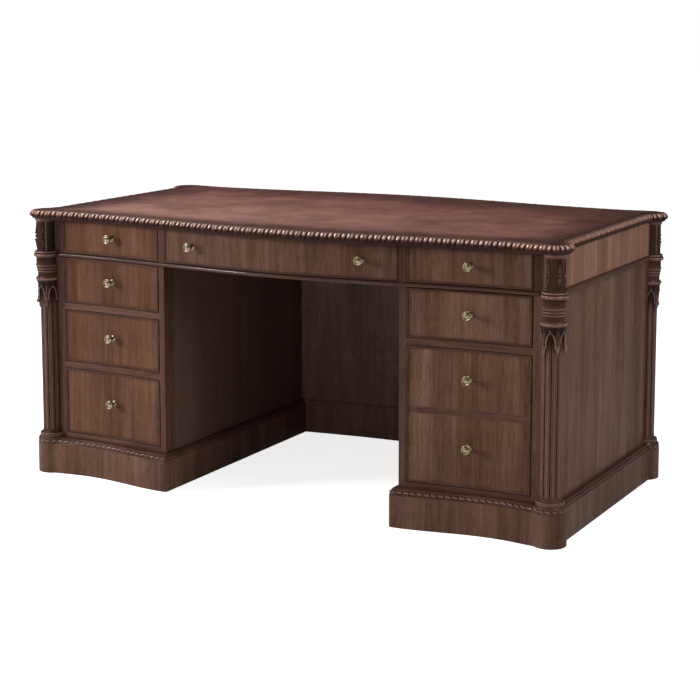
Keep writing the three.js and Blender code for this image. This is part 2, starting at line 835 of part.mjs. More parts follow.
function addPedestalDrawers(name, sign) {
  const middleX = sign * (openingInner + openingOuter) / 2;
  for (const [label, foot, head] of pedestalOpenings[name]) {
    const splitZ = foot + (head - foot) * falseSplitShare;
    const knobs = label === 'file'
      ? [['_low', middleX, foot + (splitZ - foot) * knobHeightShare],
        ['_high', middleX, splitZ + (head - splitZ) * knobHeightShare]]
      : [['', middleX, foot + (head - foot) * knobHeightShare]];
    const groove = label === 'file' ? splitZ : null;
    const [x0, x1] = [sign * openingInner, sign * openingOuter];
    addDrawer(`${name}_${label}`, x0, x1, foot, head, pedestalBoxRearGap, knobs, groove);
  }
}

function addFriezeDrawers() {
  const foot = beadTop;
  const head = topUnderside - seatGap;
  const knobZ = foot + (head - foot) * knobHeightShare;
  for (const [name, sign] of sides) {
    const [x0, x1] = [sign * openingInner, sign * openingOuter];
    addDrawer(`frieze_${name}`, x0, x1, foot, head, friezeBoxRearGap, [['', (x0 + x1) / 2, knobZ]]);
  }
  const halfWidth = centreHalfWidth();
  const knobs = sides.map(([name, sign]) => [`_${name}`, sign * halfWidth * centreKnobShare, knobZ]);
  addDrawer('frieze_centre', -halfWidth, halfWidth, foot, head, friezeBoxRearGap, knobs);
}

// The desk
addTop();
addCarvedEdges();
addFriezeFrame();
addFriezeBack();
addFriezeEnds();
addDustBoard();
addFriezeDividers();
for (const [name, sign] of sides) {
  addPlinth(name, sign);
  addBaseBoard(name, sign);
  addPedestalFrame(name, sign);
  addPedestalSides(name, sign);
  addPedestalBack(name, sign);
  addPedestalDrawers(name, sign);
}
addModestyPlinth();
addModestyPanel();
addColumns();
addFriezeDrawers();

export default desk;
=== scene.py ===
"""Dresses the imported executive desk: veneered case, carved edge and columns, leather top, brass knobs.

Each group of pieces has an operator of its own. Run as a script, the file calls them in order.
"""

import math

import bmesh
import bpy
import numpy as np
from bpy.props import FloatProperty, FloatVectorProperty, PointerProperty
from bpy.types import NodeSocket, Operator, Panel, PropertyGroup
from mathutils import Matrix, Vector


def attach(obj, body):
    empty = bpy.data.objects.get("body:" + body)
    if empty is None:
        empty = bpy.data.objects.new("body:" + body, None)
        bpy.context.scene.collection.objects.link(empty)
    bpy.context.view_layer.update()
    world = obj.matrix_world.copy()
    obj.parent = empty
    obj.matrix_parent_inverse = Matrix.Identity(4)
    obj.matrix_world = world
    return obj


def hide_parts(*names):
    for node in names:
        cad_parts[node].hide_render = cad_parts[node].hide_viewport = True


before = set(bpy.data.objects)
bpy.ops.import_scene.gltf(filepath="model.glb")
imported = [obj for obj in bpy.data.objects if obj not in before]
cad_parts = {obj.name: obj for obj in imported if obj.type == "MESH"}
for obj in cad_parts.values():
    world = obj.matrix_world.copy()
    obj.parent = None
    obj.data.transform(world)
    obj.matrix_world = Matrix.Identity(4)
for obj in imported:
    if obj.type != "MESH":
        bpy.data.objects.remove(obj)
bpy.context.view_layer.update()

bl_info = {
    "name": "Executive Desk",
    "version": (1, 0, 0),
    "blender": (4, 5, 0),
    "location": "View3D > Sidebar > Desk",
    "description": "Builds the visible pieces and finishes of a carved executive desk",
    "category": "Object",
}

MM = 0.001

# Heights of the layers, from the floor up
DESK_HEIGHT = 0.775
TOP_UNDERSIDE = 0.750
BEAD_TOP = 0.650
WAIST = 0.639
CARCASS_FOOT = 0.106
PLINTH_TOP = 0.088
SEAT_GAP = 0.3 * MM

# Axes of the corner columns, and the faces of the case
COLUMN_X = 0.784
COLUMN_Y = 0.372
VALLEY_X = COLUMN_X * 0.867
KNEE_X = 0.367
CASE_END_X = 0.7557
CASE_END_Y = 0.3437
OPENING_INNER = 0.386
OPENING_OUTER = 0.7312
CENTRE_HALF = 0.364
SIDE_FACE_X = 0.793
SIDE_INNER_X = 0.775
FRAME_BACK_Y = 0.350
BACK_THICKNESS = 0.014
WAIST_RING_RADIUS = 0.0355
CAPITAL_STEP_OUT = 0.009
WAIST_RING_REACH = WAIST_RING_RADIUS - CAPITAL_STEP_OUT * math.sqrt(0.5)
POST_REACH = 0.027
SIDE_FACE_OUT = 0.009
PLINTH_KNEE_X = 0.350
PLINTH_SIDE_X = 0.810
PLINTH_BLOCK_RADIUS = 0.0435
BASE_RING_RADIUS = 0.0375
PLINTH_WALL = 0.028
BLOCK_START_TURN = 130.0
RIM_DEPTH = 0.022
RIM_GLUE_GAP = 0.8 * MM
RIM_CORNER_RADIUS = 0.0546
RIM_END_REACH = 0.8085
RIM_END_FLAT = 0.300
LEATHER_INSET = 0.044
BOW_STEP = 0.012

# Lines of the long faces and of the ends of the top: (distance from the middle, reach)
CARCASS_LINE = ((0.0, 0.430), (VALLEY_X, COLUMN_Y), (COLUMN_X, COLUMN_Y))
RIM_LINE = ((0.0, 0.476), (VALLEY_X, 0.416), (COLUMN_X, COLUMN_Y + RIM_CORNER_RADIUS))
RIM_END_LINE = ((0.0, RIM_END_REACH), (RIM_END_FLAT, RIM_END_REACH), (COLUMN_Y, COLUMN_X + RIM_CORNER_RADIUS))
PLINTH_LINE = ((0.0, 0.461), (PLINTH_KNEE_X, 0.427), (COLUMN_X * 0.816, 0.392), (COLUMN_X, 0.405))

SIDES = (("left", -1), ("right", 1))
ENDS = (("front", -1), ("back", 1))

# Drawers: (left, right, foot, head) of each opening, then the shares that place the split and the knobs
DRAWERS = {
    "left_low": (-OPENING_OUTER, -OPENING_INNER, 0.119, 0.313),
    "left_middle": (-OPENING_OUTER, -OPENING_INNER, 0.332, 0.486),
    "left_top": (-OPENING_OUTER, -OPENING_INNER, 0.505, WAIST),
    "right_file": (OPENING_INNER, OPENING_OUTER, 0.119, 0.486),
    "right_top": (OPENING_INNER, OPENING_OUTER, 0.505, WAIST),
    "frieze_left": (-OPENING_OUTER, -OPENING_INNER, BEAD_TOP, TOP_UNDERSIDE - SEAT_GAP),
    "frieze_right": (OPENING_INNER, OPENING_OUTER, BEAD_TOP, TOP_UNDERSIDE - SEAT_GAP),
    "frieze_centre": (-CENTRE_HALF, CENTRE_HALF, BEAD_TOP, TOP_UNDERSIDE - SEAT_GAP),
}
SPLIT_SHARE = 0.54
KNOB_SHARE = 0.54
CENTRE_KNOB_X = CENTRE_HALF * 0.72


# Curves

def ease(t):
    return (1 - math.cos(math.pi * min(max(t, 0.0), 1.0))) / 2


def wave(line, at):
    """Reach of a long face at a distance from the middle, level at each of the line's anchors."""
    place = abs(at)
    step = 1
    while step < len(line) - 1 and place > line[step][0]:
        step += 1
    (start, low), (stop, high) = line[step - 1], line[step]
    return low + (high - low) * ease((place - start) / (stop - start))


def spread(start, stop, steps):
    return [start + (stop - start) * i / steps for i in range(steps + 1)]


def run(start, stop, longest=BOW_STEP):
    """Even places from start to stop, no further apart than the longest step."""
    return spread(start, stop, max(1, math.ceil(abs(stop - start) / longest)))


def arc(centre, radius, start, stop, steps):
    turns = [math.radians(turn) for turn in spread(start, stop, steps)]
    return [(centre[0] + radius * math.cos(a), centre[1] + radius * math.sin(a)) for a in turns]


def smooth(t):
    t = min(max(t, 0.0), 1.0)
    return t * t * (3 - 2 * t)


def walked(route):
    """Distance along a route in plan, at each of its places."""
    return np.concatenate([[0.0], np.cumsum(np.hypot(*np.diff(route, axis=0).T))])


# Making pieces

def make_piece(name, shape, finishes, body="case", stands_for=(), crease=32.0,
               kind_of=None, eased=0.0, marks=None):
    """A mesh object from vertices and faces, with outward faces, its finishes, and the body it rides on."""
    piece = bare_object(name, *shape)
    mesh = piece.data
    for label, values in (marks or {}).items():
        mark(piece, label, values)
    mend(mesh)
    for material in finishes if isinstance(finishes, (list, tuple)) else [finishes]:
        mesh.materials.append(material)
    if kind_of is not None:
        for face in mesh.polygons:
            face.material_index = kind_of(face.center)
    round_off(mesh, crease)
    if eased:
        ease_edges(piece, eased)
    settle_in(piece, body, stands_for)


def bare_object(name, vertices, faces):
    mesh = bpy.data.meshes.new(name)
    mesh.from_pydata([tuple(v) for v in vertices], [], faces)
    piece = bpy.data.objects.new(name, mesh)
    bpy.context.scene.collection.objects.link(piece)
    return piece


def mark(piece, label, values, kind="FLOAT"):
    """Keeps a value for each point of a mesh under a label."""
    layer = piece.data.attributes.new(label, kind, "POINT")
    field = "vector" if kind == "FLOAT_VECTOR" else "value"
    layer.data.foreach_set(field, np.asarray(values, np.float32).ravel())


def mend(mesh):
    """Merges doubles, drops loose points and turns every face outward."""
    shape = bmesh.new()
    shape.from_mesh(mesh)
    bmesh.ops.remove_doubles(shape, verts=shape.verts, dist=0.01 * MM)
    loose = [v for v in shape.verts if not v.link_faces]
    bmesh.ops.delete(shape, geom=loose, context="VERTS")
    bmesh.ops.recalc_face_normals(shape, faces=shape.faces)
    shape.to_mesh(mesh)
    shape.free()


def round_off(mesh, crease):
    """Shades a mesh smooth, but for the edges that turn by more than the crease, in degrees."""
    mesh.shade_smooth()
    mesh.set_sharp_from_angle(angle=math.radians(crease))


def ease_edges(piece, width):
    """A small rounded arris on the sharp edges of a board."""
    bevel = piece.modifiers.new("Eased edges", "BEVEL")
    bevel.width = width
    bevel.segments = 2
    bevel.limit_method = "ANGLE"
    bevel.angle_limit = math.radians(40)
    bevel.harden_normals = True


def settle_in(piece, body, stands_for=()):
    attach(piece, body)
    if stands_for:
        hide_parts(*stands_for)


def grow(piece, tree, values):
    """Puts a geometry tree on a piece, and sets its inputs by their labels, through each socket's identifier."""
    modifier = piece.modifiers.new(tree.name, "NODES")
    modifier.node_group = tree
    for item in tree.interface.items_tree:
        if item.item_type == "SOCKET" and item.in_out == "INPUT" and item.name in values:
            modifier[item.identifier] = values[item.name]


def harden(piece, crease):
    """Turns what a piece's modifiers make into its own plain mesh."""
    depsgraph = bpy.context.evaluated_depsgraph_get()
    made = bpy.data.meshes.new_from_object(piece.evaluated_get(depsgraph), preserve_all_data_layers=True,
                                           depsgraph=depsgraph)
    piece.modifiers.clear()
    old, piece.data = piece.data, made
    bpy.data.meshes.remove(old)
    mend(piece.data)
    round_off(piece.data, crease)


def grid_board(us, vs, face, rear, is_solid=None):
    """A board over a grid of us by vs: face and rear turn (u, v) into places on its two sides."""
    rows, columns = len(us), len(vs)
    vertices = [face(u, v) for u in us for v in vs] + [rear(u, v) for u in us for v in vs]
    behind = rows * columns

    def filled(i, j):
        if not (0 <= i < rows - 1 and 0 <= j < columns - 1):
            return False
        return is_solid is None or is_solid((us[i] + us[i + 1]) / 2, (vs[j] + vs[j + 1]) / 2)

    faces = []
    for i in range(rows - 1):
        for j in range(columns - 1):
            if not filled(i, j):
                continue
            a, b = i * columns + j, (i + 1) * columns + j
            c, d = b + 1, a + 1
            faces += [(a, b, c, d), (a + behind, d + behind, c + behind, b + behind)]
            for near, p, q in (((i, j - 1), a, b), ((i + 1, j), b, c), ((i, j + 1), c, d), ((i - 1, j), d, a)):
                if not filled(*near):
                    faces.append((q, p, p + behind, q + behind))
    return vertices, faces


def ring_skin(rings, capped=True):
    """A skin over rings of equal count: capped at both ends, or closed round on itself."""
    count = len(rings[0])
    vertices = [place for ring in rings for place in ring]
    faces = []
    layers = len(rings) - 1 if capped else len(rings)
    for layer in range(layers):
        low = layer * count
        high = ((layer + 1) % len(rings)) * count
        for i in range(count):
            j = (i + 1) % count
            faces.append((low + i, low + j, high + j, high + i))
    if capped:
        last = (len(rings) - 1) * count
        faces += [tuple(reversed(range(count))), tuple(range(last, last + count))]
    return vertices, faces


def joined(*shapes):
    vertices, faces = [], []
    for more, more_faces in shapes:
        start = len(vertices)
        vertices += list(more)
        faces += [tuple(start + i for i in face) for face in more_faces]
    return vertices, faces


def turned(shape, degrees):
    turn = Matrix.Rotation(math.radians(degrees), 3, "Z")
    return [tuple(turn @ Vector(v)) for v in shape[0]], shape[1]


def mirrored(points, sign_x, sign_y):
    return [(x * sign_x, y * sign_y) for x, y in points]


# Node trees

def new_tree(name, kind, inputs, outputs):
    tree = bpy.data.node_groups.new(name, kind)
    for label, socket, default in inputs:
        item = tree.interface.new_socket(label, in_out="INPUT", socket_type=socket)
        if default is not None:
            item.default_value = default
    for label, socket in outputs:
        tree.interface.new_socket(label, in_out="OUTPUT", socket_type=socket)
    return tree, tree.nodes.new("NodeGroupInput").outputs, tree.nodes.new("NodeGroupOutput").inputs


def built_once(name):
    """Has a node group built under its name when it is first asked for, and gives the same one from then on."""
    def around(build):
        return lambda: bpy.data.node_groups.get(name) or build(name)
    return around


def feed(tree, node, values):
    """Links each named input of a node to a socket, or gives it a value."""
    for key, value in values.items():
        if isinstance(value, NodeSocket):
            tree.links.new(value, node.inputs[key])
        else:
            node.inputs[key].default_value = value


def add_node(tree, kind, feeds=None, **settings):
    made = tree.nodes.new(kind)
    for key, value in settings.items():
        setattr(made, key, value)
    feed(tree, made, feeds or {})
    return made


def calc(tree, operation, *values, clamp=False):
    feeds = dict(enumerate(values))
    return add_node(tree, "ShaderNodeMath", feeds, operation=operation, use_clamp=clamp).outputs[0]


def product(tree, *values):
    made = values[0]
    for value in values[1:]:
        made = calc(tree, "MULTIPLY", made, value)
    return made


def vector(tree, operation, *values):
    made = add_node(tree, "ShaderNodeVectorMath", dict(enumerate(values)), operation=operation)
    return made.outputs["Value" if operation == "LENGTH" else "Vector"]


def scaled(tree, direction, share):
    return add_node(tree, "ShaderNodeVectorMath", {0: direction, "Scale": share}, operation="SCALE").outputs["Vector"]


def noise(tree, place, scale, detail=2.0, roughness=0.5):
    feeds = {"Vector": place, "Scale": scale, "Detail": detail, "Roughness": roughness}
    return add_node(tree, "ShaderNodeTexNoise", feeds).outputs["Fac"]


def stretch(tree, value, low, high, start=0.0, stop=1.0, kind="LINEAR"):
    feeds = {"Value": value, "From Min": low, "From Max": high, "To Min": start, "To Max": stop}
    return add_node(tree, "ShaderNodeMapRange", feeds, interpolation_type=kind).outputs["Result"]


def mix_colour(tree, share, first, second, blend="MIX"):
    made = add_node(tree, "ShaderNodeMix", {0: share, 6: first, 7: second}, data_type="RGBA", blend_type=blend)
    return made.outputs[2]


def use_group(tree, group, feeds):
    return add_node(tree, "ShaderNodeGroup", feeds, node_tree=group).outputs


def kept_mark(tree, label):
    """Reads in a material the value that each point of a mesh keeps under a label."""
    return add_node(tree, "ShaderNodeAttribute", attribute_name=label).outputs["Fac"]


def read_mark(tree, label, kind="FLOAT"):
    """Reads in a geometry tree the value that each point of a mesh keeps under a label."""
    return add_node(tree, "GeometryNodeInputNamedAttribute", {"Name": label}, data_type=kind).outputs[0]


def bumps(tree, height, strength, distance):
    return add_node(tree, "ShaderNodeBump", {"Height": height, "Strength": strength, "Distance": distance}).outputs[0]


def end_tree(tree, geometry, finish, out):
    whole = add_node(tree, "GeometryNodeRealizeInstances", {"Geometry": geometry})
    done = add_node(tree, "GeometryNodeSetMaterial", {"Geometry": whole.outputs[0], "Material": finish})
    tree.links.new(done.outputs[0], out["Geometry"])


def end_carving(tree, given, out, offset, crest, sunk):
    """Moves each point by its offset, keeps under relief its crest less its sunk share, which the finish paints as
    highlight and shade, and ends the tree.
    """
    moved = add_node(tree, "GeometryNodeSetPosition", {"Geometry": given["Geometry"], "Offset": offset})
    marked = add_node(tree, "GeometryNodeStoreNamedAttribute", {
        "Geometry": moved.outputs[0], "Name": "relief", "Value": calc(tree, "SUBTRACT", crest, sunk),
    }, data_type="FLOAT", domain="POINT")
    end_tree(tree, marked.outputs[0], given["Finish"], out)


@built_once("Walnut Figure")
def walnut_group(name):
    """Figure of walnut: the grain runs along the vector's Z. Colour, a tone for gloss, and a height."""
    tree, given, out = new_tree(name, "ShaderNodeTree", [
        ("Vector", "NodeSocketVector", None),
        ("Dark", "NodeSocketColor", (0.05, 0.02, 0.015, 1)),
        ("Middle", "NodeSocketColor", (0.1, 0.05, 0.035, 1)),
        ("Pale", "NodeSocketColor", (0.16, 0.09, 0.06, 1)),
        ("Stripe", "NodeSocketFloat", 1.0),
        ("Ripple", "NodeSocketFloat", 0.3),
        ("Pore Depth", "NodeSocketFloat", 0.5),
    ], [("Color", "NodeSocketColor"), ("Tone", "NodeSocketFloat"), ("Height", "NodeSocketFloat")])
    waver = add_node(tree, "ShaderNodeTexNoise", {"Vector": given["Vector"], "Scale": 7.0, "Detail": 2.0})
    shift = scaled(tree, vector(tree, "SUBTRACT", waver.outputs["Color"], (0.5, 0.5, 0.5)), 0.07)
    bent = vector(tree, "ADD", given["Vector"], shift)
    broad = stretch(tree, noise(tree, bent, 17.0, 2.0), 0.34, 0.66)
    streak = stretch(tree, noise(tree, bent, 75.0, 4.0, 0.6), 0.32, 0.68)
    fibre = stretch(tree, noise(tree, bent, 420.0, 3.0, 0.6), 0.3, 0.7)
    squeezed = vector(tree, "MULTIPLY", given["Vector"], (0.35, 0.35, 9.0))
    ripple = calc(tree, "SUBTRACT", noise(tree, squeezed, 26.0, 3.0, 0.6), 0.5)
    tone = calc(tree, "MULTIPLY", broad, 0.36)
    tone = calc(tree, "MULTIPLY_ADD", streak, 0.34, tone)
    tone = calc(tree, "MULTIPLY_ADD", fibre, 0.30, tone)
    tone = calc(tree, "MULTIPLY_ADD", ripple, given["Ripple"], tone)
    tone = calc(tree, "SUBTRACT", tone, 0.5)
    tone = calc(tree, "MULTIPLY_ADD", tone, given["Stripe"], 0.5, clamp=True)
    lower = mix_colour(tree, stretch(tree, tone, 0.0, 0.5), given["Dark"], given["Middle"])
    colour = mix_colour(tree, stretch(tree, tone, 0.5, 1.0), lower, given["Pale"])
    patch = stretch(tree, noise(tree, bent, 9.0, 2.0), 0.35, 0.65)
    tint = mix_colour(tree, patch, (0.98, 1.0, 1.04, 1), (1.03, 0.99, 0.93, 1))
    colour = mix_colour(tree, 1.0, colour, tint, "MULTIPLY")
    pores = stretch(tree, noise(tree, bent, 1100.0, 2.0), 0.33, 0.43)
    pored = calc(tree, "MULTIPLY", calc(tree, "SUBTRACT", 1.0, pores, clamp=True), given["Pore Depth"])
    tree.links.new(mix_colour(tree, pored, colour, (0.014, 0.006, 0.004, 1)), out["Color"])
    tree.links.new(tone, out["Tone"])
    height = calc(tree, "MULTIPLY_ADD", fibre, 0.25, calc(tree, "SUBTRACT", 0.0, pored))
    tree.links.new(height, out["Height"])
    return tree


@built_once("Shaded Borders")
def border_group(name):
    """Darker toward the edges of a board, by the distance to the sides of a box round it."""
    tree, given, out = new_tree(name, "ShaderNodeTree", [
        ("Vector", "NodeSocketVector", None),
        ("Centre", "NodeSocketVector", None),
        ("Half Size", "NodeSocketVector", None),
        ("Width", "NodeSocketFloat", 0.02),
    ], [("Mask", "NodeSocketFloat")])
    off = vector(tree, "ABSOLUTE", vector(tree, "SUBTRACT", given["Vector"], given["Centre"]))
    room = vector(tree, "SUBTRACT", given["Half Size"], off)
    parts = add_node(tree, "ShaderNodeSeparateXYZ", {0: room}).outputs
    near = calc(tree, "MINIMUM", calc(tree, "MINIMUM", parts[0], parts[1]), parts[2])
    patchy = calc(tree, "SUBTRACT", noise(tree, given["Vector"], 22.0, 3.0), 0.5)
    near = calc(tree, "MULTIPLY_ADD", patchy, calc(tree, "MULTIPLY", given["Width"], 0.6), near)
    share = calc(tree, "DIVIDE", near, given["Width"])
    tree.links.new(stretch(tree, share, 0.0, 1.0, 1.0, 0.0, "SMOOTHSTEP"), out["Mask"])
    return tree


@built_once("Rubbed Carving")
def wear_and_light_group(name):
    """Wear of carved wood with painted light: proud arrises rubbed pale and given a painted highlight, hollows
    darkened, a painted shade in wood and patina in brass.
    """
    tree, given, out = new_tree(name, "ShaderNodeTree", [
        ("Color", "NodeSocketColor", None),
        ("Relief", "NodeSocketFloat", 0.0),
        ("Rubbed", "NodeSocketColor", (0.2, 0.12, 0.09, 1)),
        ("Hollow", "NodeSocketColor", (0.008, 0.004, 0.003, 1)),
        ("Rub", "NodeSocketFloat", 0.55),
        ("Shade", "NodeSocketFloat", 0.85),
        ("Arris", "NodeSocketFloat", 0.5),
    ], [("Color", "NodeSocketColor"), ("Mask", "NodeSocketFloat")])
    # Pointiness paints a highlight on convex arrises and a shade in concave hollows
    point = add_node(tree, "ShaderNodeNewGeometry").outputs["Pointiness"]
    carved_in = calc(tree, "MULTIPLY", given["Relief"], -1.0, clamp=True)
    arris = calc(tree, "MULTIPLY", stretch(tree, point, 0.505, 0.55), given["Arris"])
    proud = calc(tree, "MAXIMUM", arris, given["Relief"])
    sunk = calc(tree, "MAXIMUM", stretch(tree, point, 0.495, 0.44), carved_in)
    proud_share = calc(tree, "MULTIPLY", calc(tree, "MULTIPLY", proud, given["Rub"]),
                       calc(tree, "SUBTRACT", 1.0, carved_in), clamp=True)
    sunk_share = calc(tree, "MULTIPLY", sunk, given["Shade"], clamp=True)
    colour = mix_colour(tree, proud_share, given["Color"], given["Rubbed"])
    tree.links.new(mix_colour(tree, sunk_share, colour, given["Hollow"]), out["Color"])
    tree.links.new(calc(tree, "SUBTRACT", proud, sunk), out["Mask"])
    return tree


@built_once("Hide Grain")
def hide_group(name):
    """Grain of leather: small pebbles and a slow change of tone."""
    tree, given, out = new_tree(name, "ShaderNodeTree", [
        ("Vector", "NodeSocketVector", None),
        ("Pebble", "NodeSocketFloat", 900.0),
    ], [("Cloud", "NodeSocketFloat"), ("Height", "NodeSocketFloat")])
    cells = add_node(tree, "ShaderNodeTexVoronoi", {"Vector": given["Vector"], "Scale": given["Pebble"]},
                     feature="DISTANCE_TO_EDGE").outputs["Distance"]
    cloud = stretch(tree, noise(tree, given["Vector"], 7.0, 5.0, 0.6), 0.3, 0.7)
    fine = noise(tree, given["Vector"], 60.0, 4.0, 0.6)
    tree.links.new(calc(tree, "MULTIPLY_ADD", fine, 0.35, calc(tree, "MULTIPLY", cloud, 0.65)), out["Cloud"])
    tree.links.new(stretch(tree, cells, 0.0, 0.35), out["Height"])
    return tree


# Finishes

GRAIN_TURN = {"x": (0.0, math.radians(90), 0.0), "y": (math.radians(90), 0.0, 0.0), "z": (0.0, 0.0, 0.0)}
GRAIN_STRETCH = (1.0, 1.0, 0.055)
SEED_STEP = (3.1, 1.7, 0.37)
BORDER_DARKENING = 0.4
BORDER_SHADE = 0.62
LACQUER_ROUGHNESS = 0.14
CARVED_FIGURE = {"stripe": 0.8, "ripple": 0.1, "pore": 0.2, "gloss": 0.42}
# Tint of the painted highlight on the lobes of the end runs
END_HIGHLIGHT_TINT = (1.1, 0.97, 0.88)
TOOLED_LINES = ((0.014, 0.0007), (0.018, 0.0004))


def new_material(name):
    material = bpy.data.materials.new(name)
    material.use_nodes = True
    tree = material.node_tree
    shader = tree.nodes["Principled BSDF"]
    place = tree.nodes.new("ShaderNodeTexCoord").outputs["Object"]
    return material, tree, shader, place


def shaded(colour, shade, warm=1.0):
    return (colour[0] * shade * warm, colour[1] * shade, colour[2] * shade / warm, 1.0)


def tones_of(family):
    """The dark, middle and pale tone of a family of wood."""
    colours = bpy.context.scene.desk_colours
    return [getattr(colours, f"{family}_{tone}") for tone in ("dark", "middle", "pale")]


def wood(name, tones, grain, seed=0.0, shade=1.0, warm=1.0, stripe=1.0, ripple=0.3, pore=0.5, gloss=0.44,
         shine=0.12, coat=0.0, rub_and_highlight=None, rub=0.0, arris=0.0, borders=None):
    """Lacquered walnut whose grain runs along one axis. The rub_and_highlight colour gives carved pieces pale crests,
    rubbed and with a painted highlight, and a painted shade in their hollows, and borders darkens it toward the sides
    of a box: its centre, half size and the width of the darkening."""
    if name in bpy.data.materials:
        return bpy.data.materials[name]
    material, tree, shader, place = new_material(name)
    offset = tuple(seed * step for step in SEED_STEP)
    laid = add_node(tree, "ShaderNodeMapping", {"Vector": place, "Location": offset, "Rotation": GRAIN_TURN[grain]})
    dark, middle, pale = (shaded(tone, shade, warm) for tone in tones)
    figure = use_group(tree, walnut_group(), {
        "Vector": vector(tree, "MULTIPLY", laid.outputs[0], GRAIN_STRETCH),
        "Dark": dark, "Middle": middle, "Pale": pale, "Stripe": stripe, "Ripple": ripple, "Pore Depth": pore,
    })
    colour = figure["Color"]
    if borders is not None:
        centre, half, width = borders
        edge_darkening = use_group(tree, border_group(), {"Vector": place, "Centre": centre, "Half Size": half, "Width": width})
        share = calc(tree, "MULTIPLY", edge_darkening["Mask"], BORDER_DARKENING)
        colour = mix_colour(tree, share, colour, shaded(tones[0], BORDER_SHADE, warm))
    polish = stretch(tree, figure["Tone"], 0.0, 1.0, gloss + 0.06, gloss - 0.05)
    lacquer = coat
    # Rubbed pale crests with a painted highlight, and a painted shade in the hollows
    if rub_and_highlight is not None:
        wear = use_group(tree, wear_and_light_group(), {
            "Color": colour, "Relief": kept_mark(tree, "relief"), "Rubbed": (*rub_and_highlight, 1.0), "Arris": arris,
            "Rub": stretch(tree, noise(tree, place, 70.0, 2.0), 0.35, 0.65, 0.65 * rub, 1.15 * rub),
        })
        colour = wear["Color"]
        lacquer = calc(tree, "MULTIPLY", wear["Mask"], coat, clamp=True)
        polish = calc(tree, "ADD", polish, calc(tree, "MULTIPLY", wear["Mask"], -0.4, clamp=True))
    feed(tree, shader, {
        "Base Color": colour, "Roughness": polish, "Normal": bumps(tree, figure["Height"], 0.25, 0.3 * MM),
        "Specular IOR Level": shine, "Coat Weight": lacquer, "Coat Roughness": LACQUER_ROUGHNESS,
    })
    return material


def veneer(label, grain="z", **more):
    return wood(f"walnut_{label}", tones_of("veneer"), grain, **{"stripe": 0.7, **more})


def rail_wood(label, grain="x", **more):
    """Darker walnut of the frames, rails and mouldings."""
    return wood(f"frame_{label}", tones_of("frame"), grain, **{"stripe": 1.1, "ripple": 0.15, **more})


# Carved wood, its proud parts rubbed pale with a painted highlight and its hollows given a painted shade
def carving(label, shade, rub=0.8):
    return wood(f"carved_walnut_{label}", tones_of("carved"), "z", seed=2.0, shade=shade, **CARVED_FIGURE,
                rub_and_highlight=bpy.context.scene.desk_colours.carved_wear_and_highlight, rub=rub, arris=0.35, shine=0.15, coat=0.8)


def edge_carving(run_name):
    """Carved wood of the edge, its crests rubbed pale with a painted highlight. Its runs along the ends are painted
    brighter, with redder crest highlights, than the long ones.
    """
    crest_light = bpy.context.scene.desk_colours.edge_rubbed
    label, shade, coat, tint = "long", 1.1, 0.95, (1.0, 1.0, 1.0)
    if run_name in ("left", "right"):
        label, shade, coat, tint = "ends", 1.3, 0.65, END_HIGHLIGHT_TINT
    return wood(f"lobed_walnut_{label}", tones_of("carved"), "z", seed=2.5, shade=shade, **CARVED_FIGURE,
                rub_and_highlight=[tone * share for tone, share in zip(crest_light, tint)], rub=0.95, arris=0.12, coat=coat)


def drawer_wood():
    return wood("drawer_lining", tones_of("lining"), "y", seed=5.0, stripe=0.8, pore=0.3, gloss=0.6)


def leather():
    """Red hide, burnished dark toward its edge, with a painted sheen round one place, and tooled with two lines."""
    tones = bpy.context.scene.desk_colours
    material, tree, shader, place = new_material("burnished_hide")
    grain = use_group(tree, hide_group(), {"Vector": place})
    cloud, edge = grain["Cloud"], kept_mark(tree, "to_edge")
    unrest = calc(tree, "SUBTRACT", cloud, 0.5)
    depth = add_node(tree, "ShaderNodeSeparateXYZ", {0: place}).outputs["Y"]
    # The dark edge is wider toward the back, so the hide is darker toward the back
    burn = calc(tree, "DIVIDE", edge, stretch(tree, depth, -0.25, 0.35, 0.1, 0.27))
    burn = calc(tree, "MULTIPLY_ADD", unrest, 0.5, burn, clamp=True)
    burn = stretch(tree, burn, 0.0, 1.0, kind="SMOOTHSTEP")
    # A painted sheen: the hide is paler round one place
    off = vector(tree, "SUBTRACT", place, tuple(tones.sheen_place))
    off = vector(tree, "LENGTH", vector(tree, "MULTIPLY", off, (1.0, 2.2, 1.0)))
    sheen = stretch(tree, calc(tree, "MULTIPLY_ADD", unrest, -0.9, off), 1.6, 0.1, 0.0, 0.75)
    colour = mix_colour(tree, sheen, (*tones.leather_field, 1.0), (*tones.leather_sheen, 1.0))
    colour = mix_colour(tree, burn, (*tones.leather_edge, 1.0), colour)
    colour = mix_colour(tree, 1.0, colour, stretch(tree, cloud, 0.25, 0.8, 0.8, 1.25), "MULTIPLY")
    outer, inner = (calc(tree, "COMPARE", edge, reach, half) for reach, half in TOOLED_LINES)
    line = calc(tree, "MAXIMUM", outer, inner)
    colour = mix_colour(tree, calc(tree, "MULTIPLY", line, 0.6), colour, (0.02, 0.006, 0.004, 1))
    height = calc(tree, "SUBTRACT", calc(tree, "MULTIPLY", grain["Height"], 0.4), line)
    feed(tree, shader, {
        "Base Color": colour, "Roughness": stretch(tree, cloud, 0.2, 0.8, 0.6, 0.5),
        "Normal": bumps(tree, height, 0.35, 0.3 * MM), "Specular IOR Level": 0.15,
    })
    return material


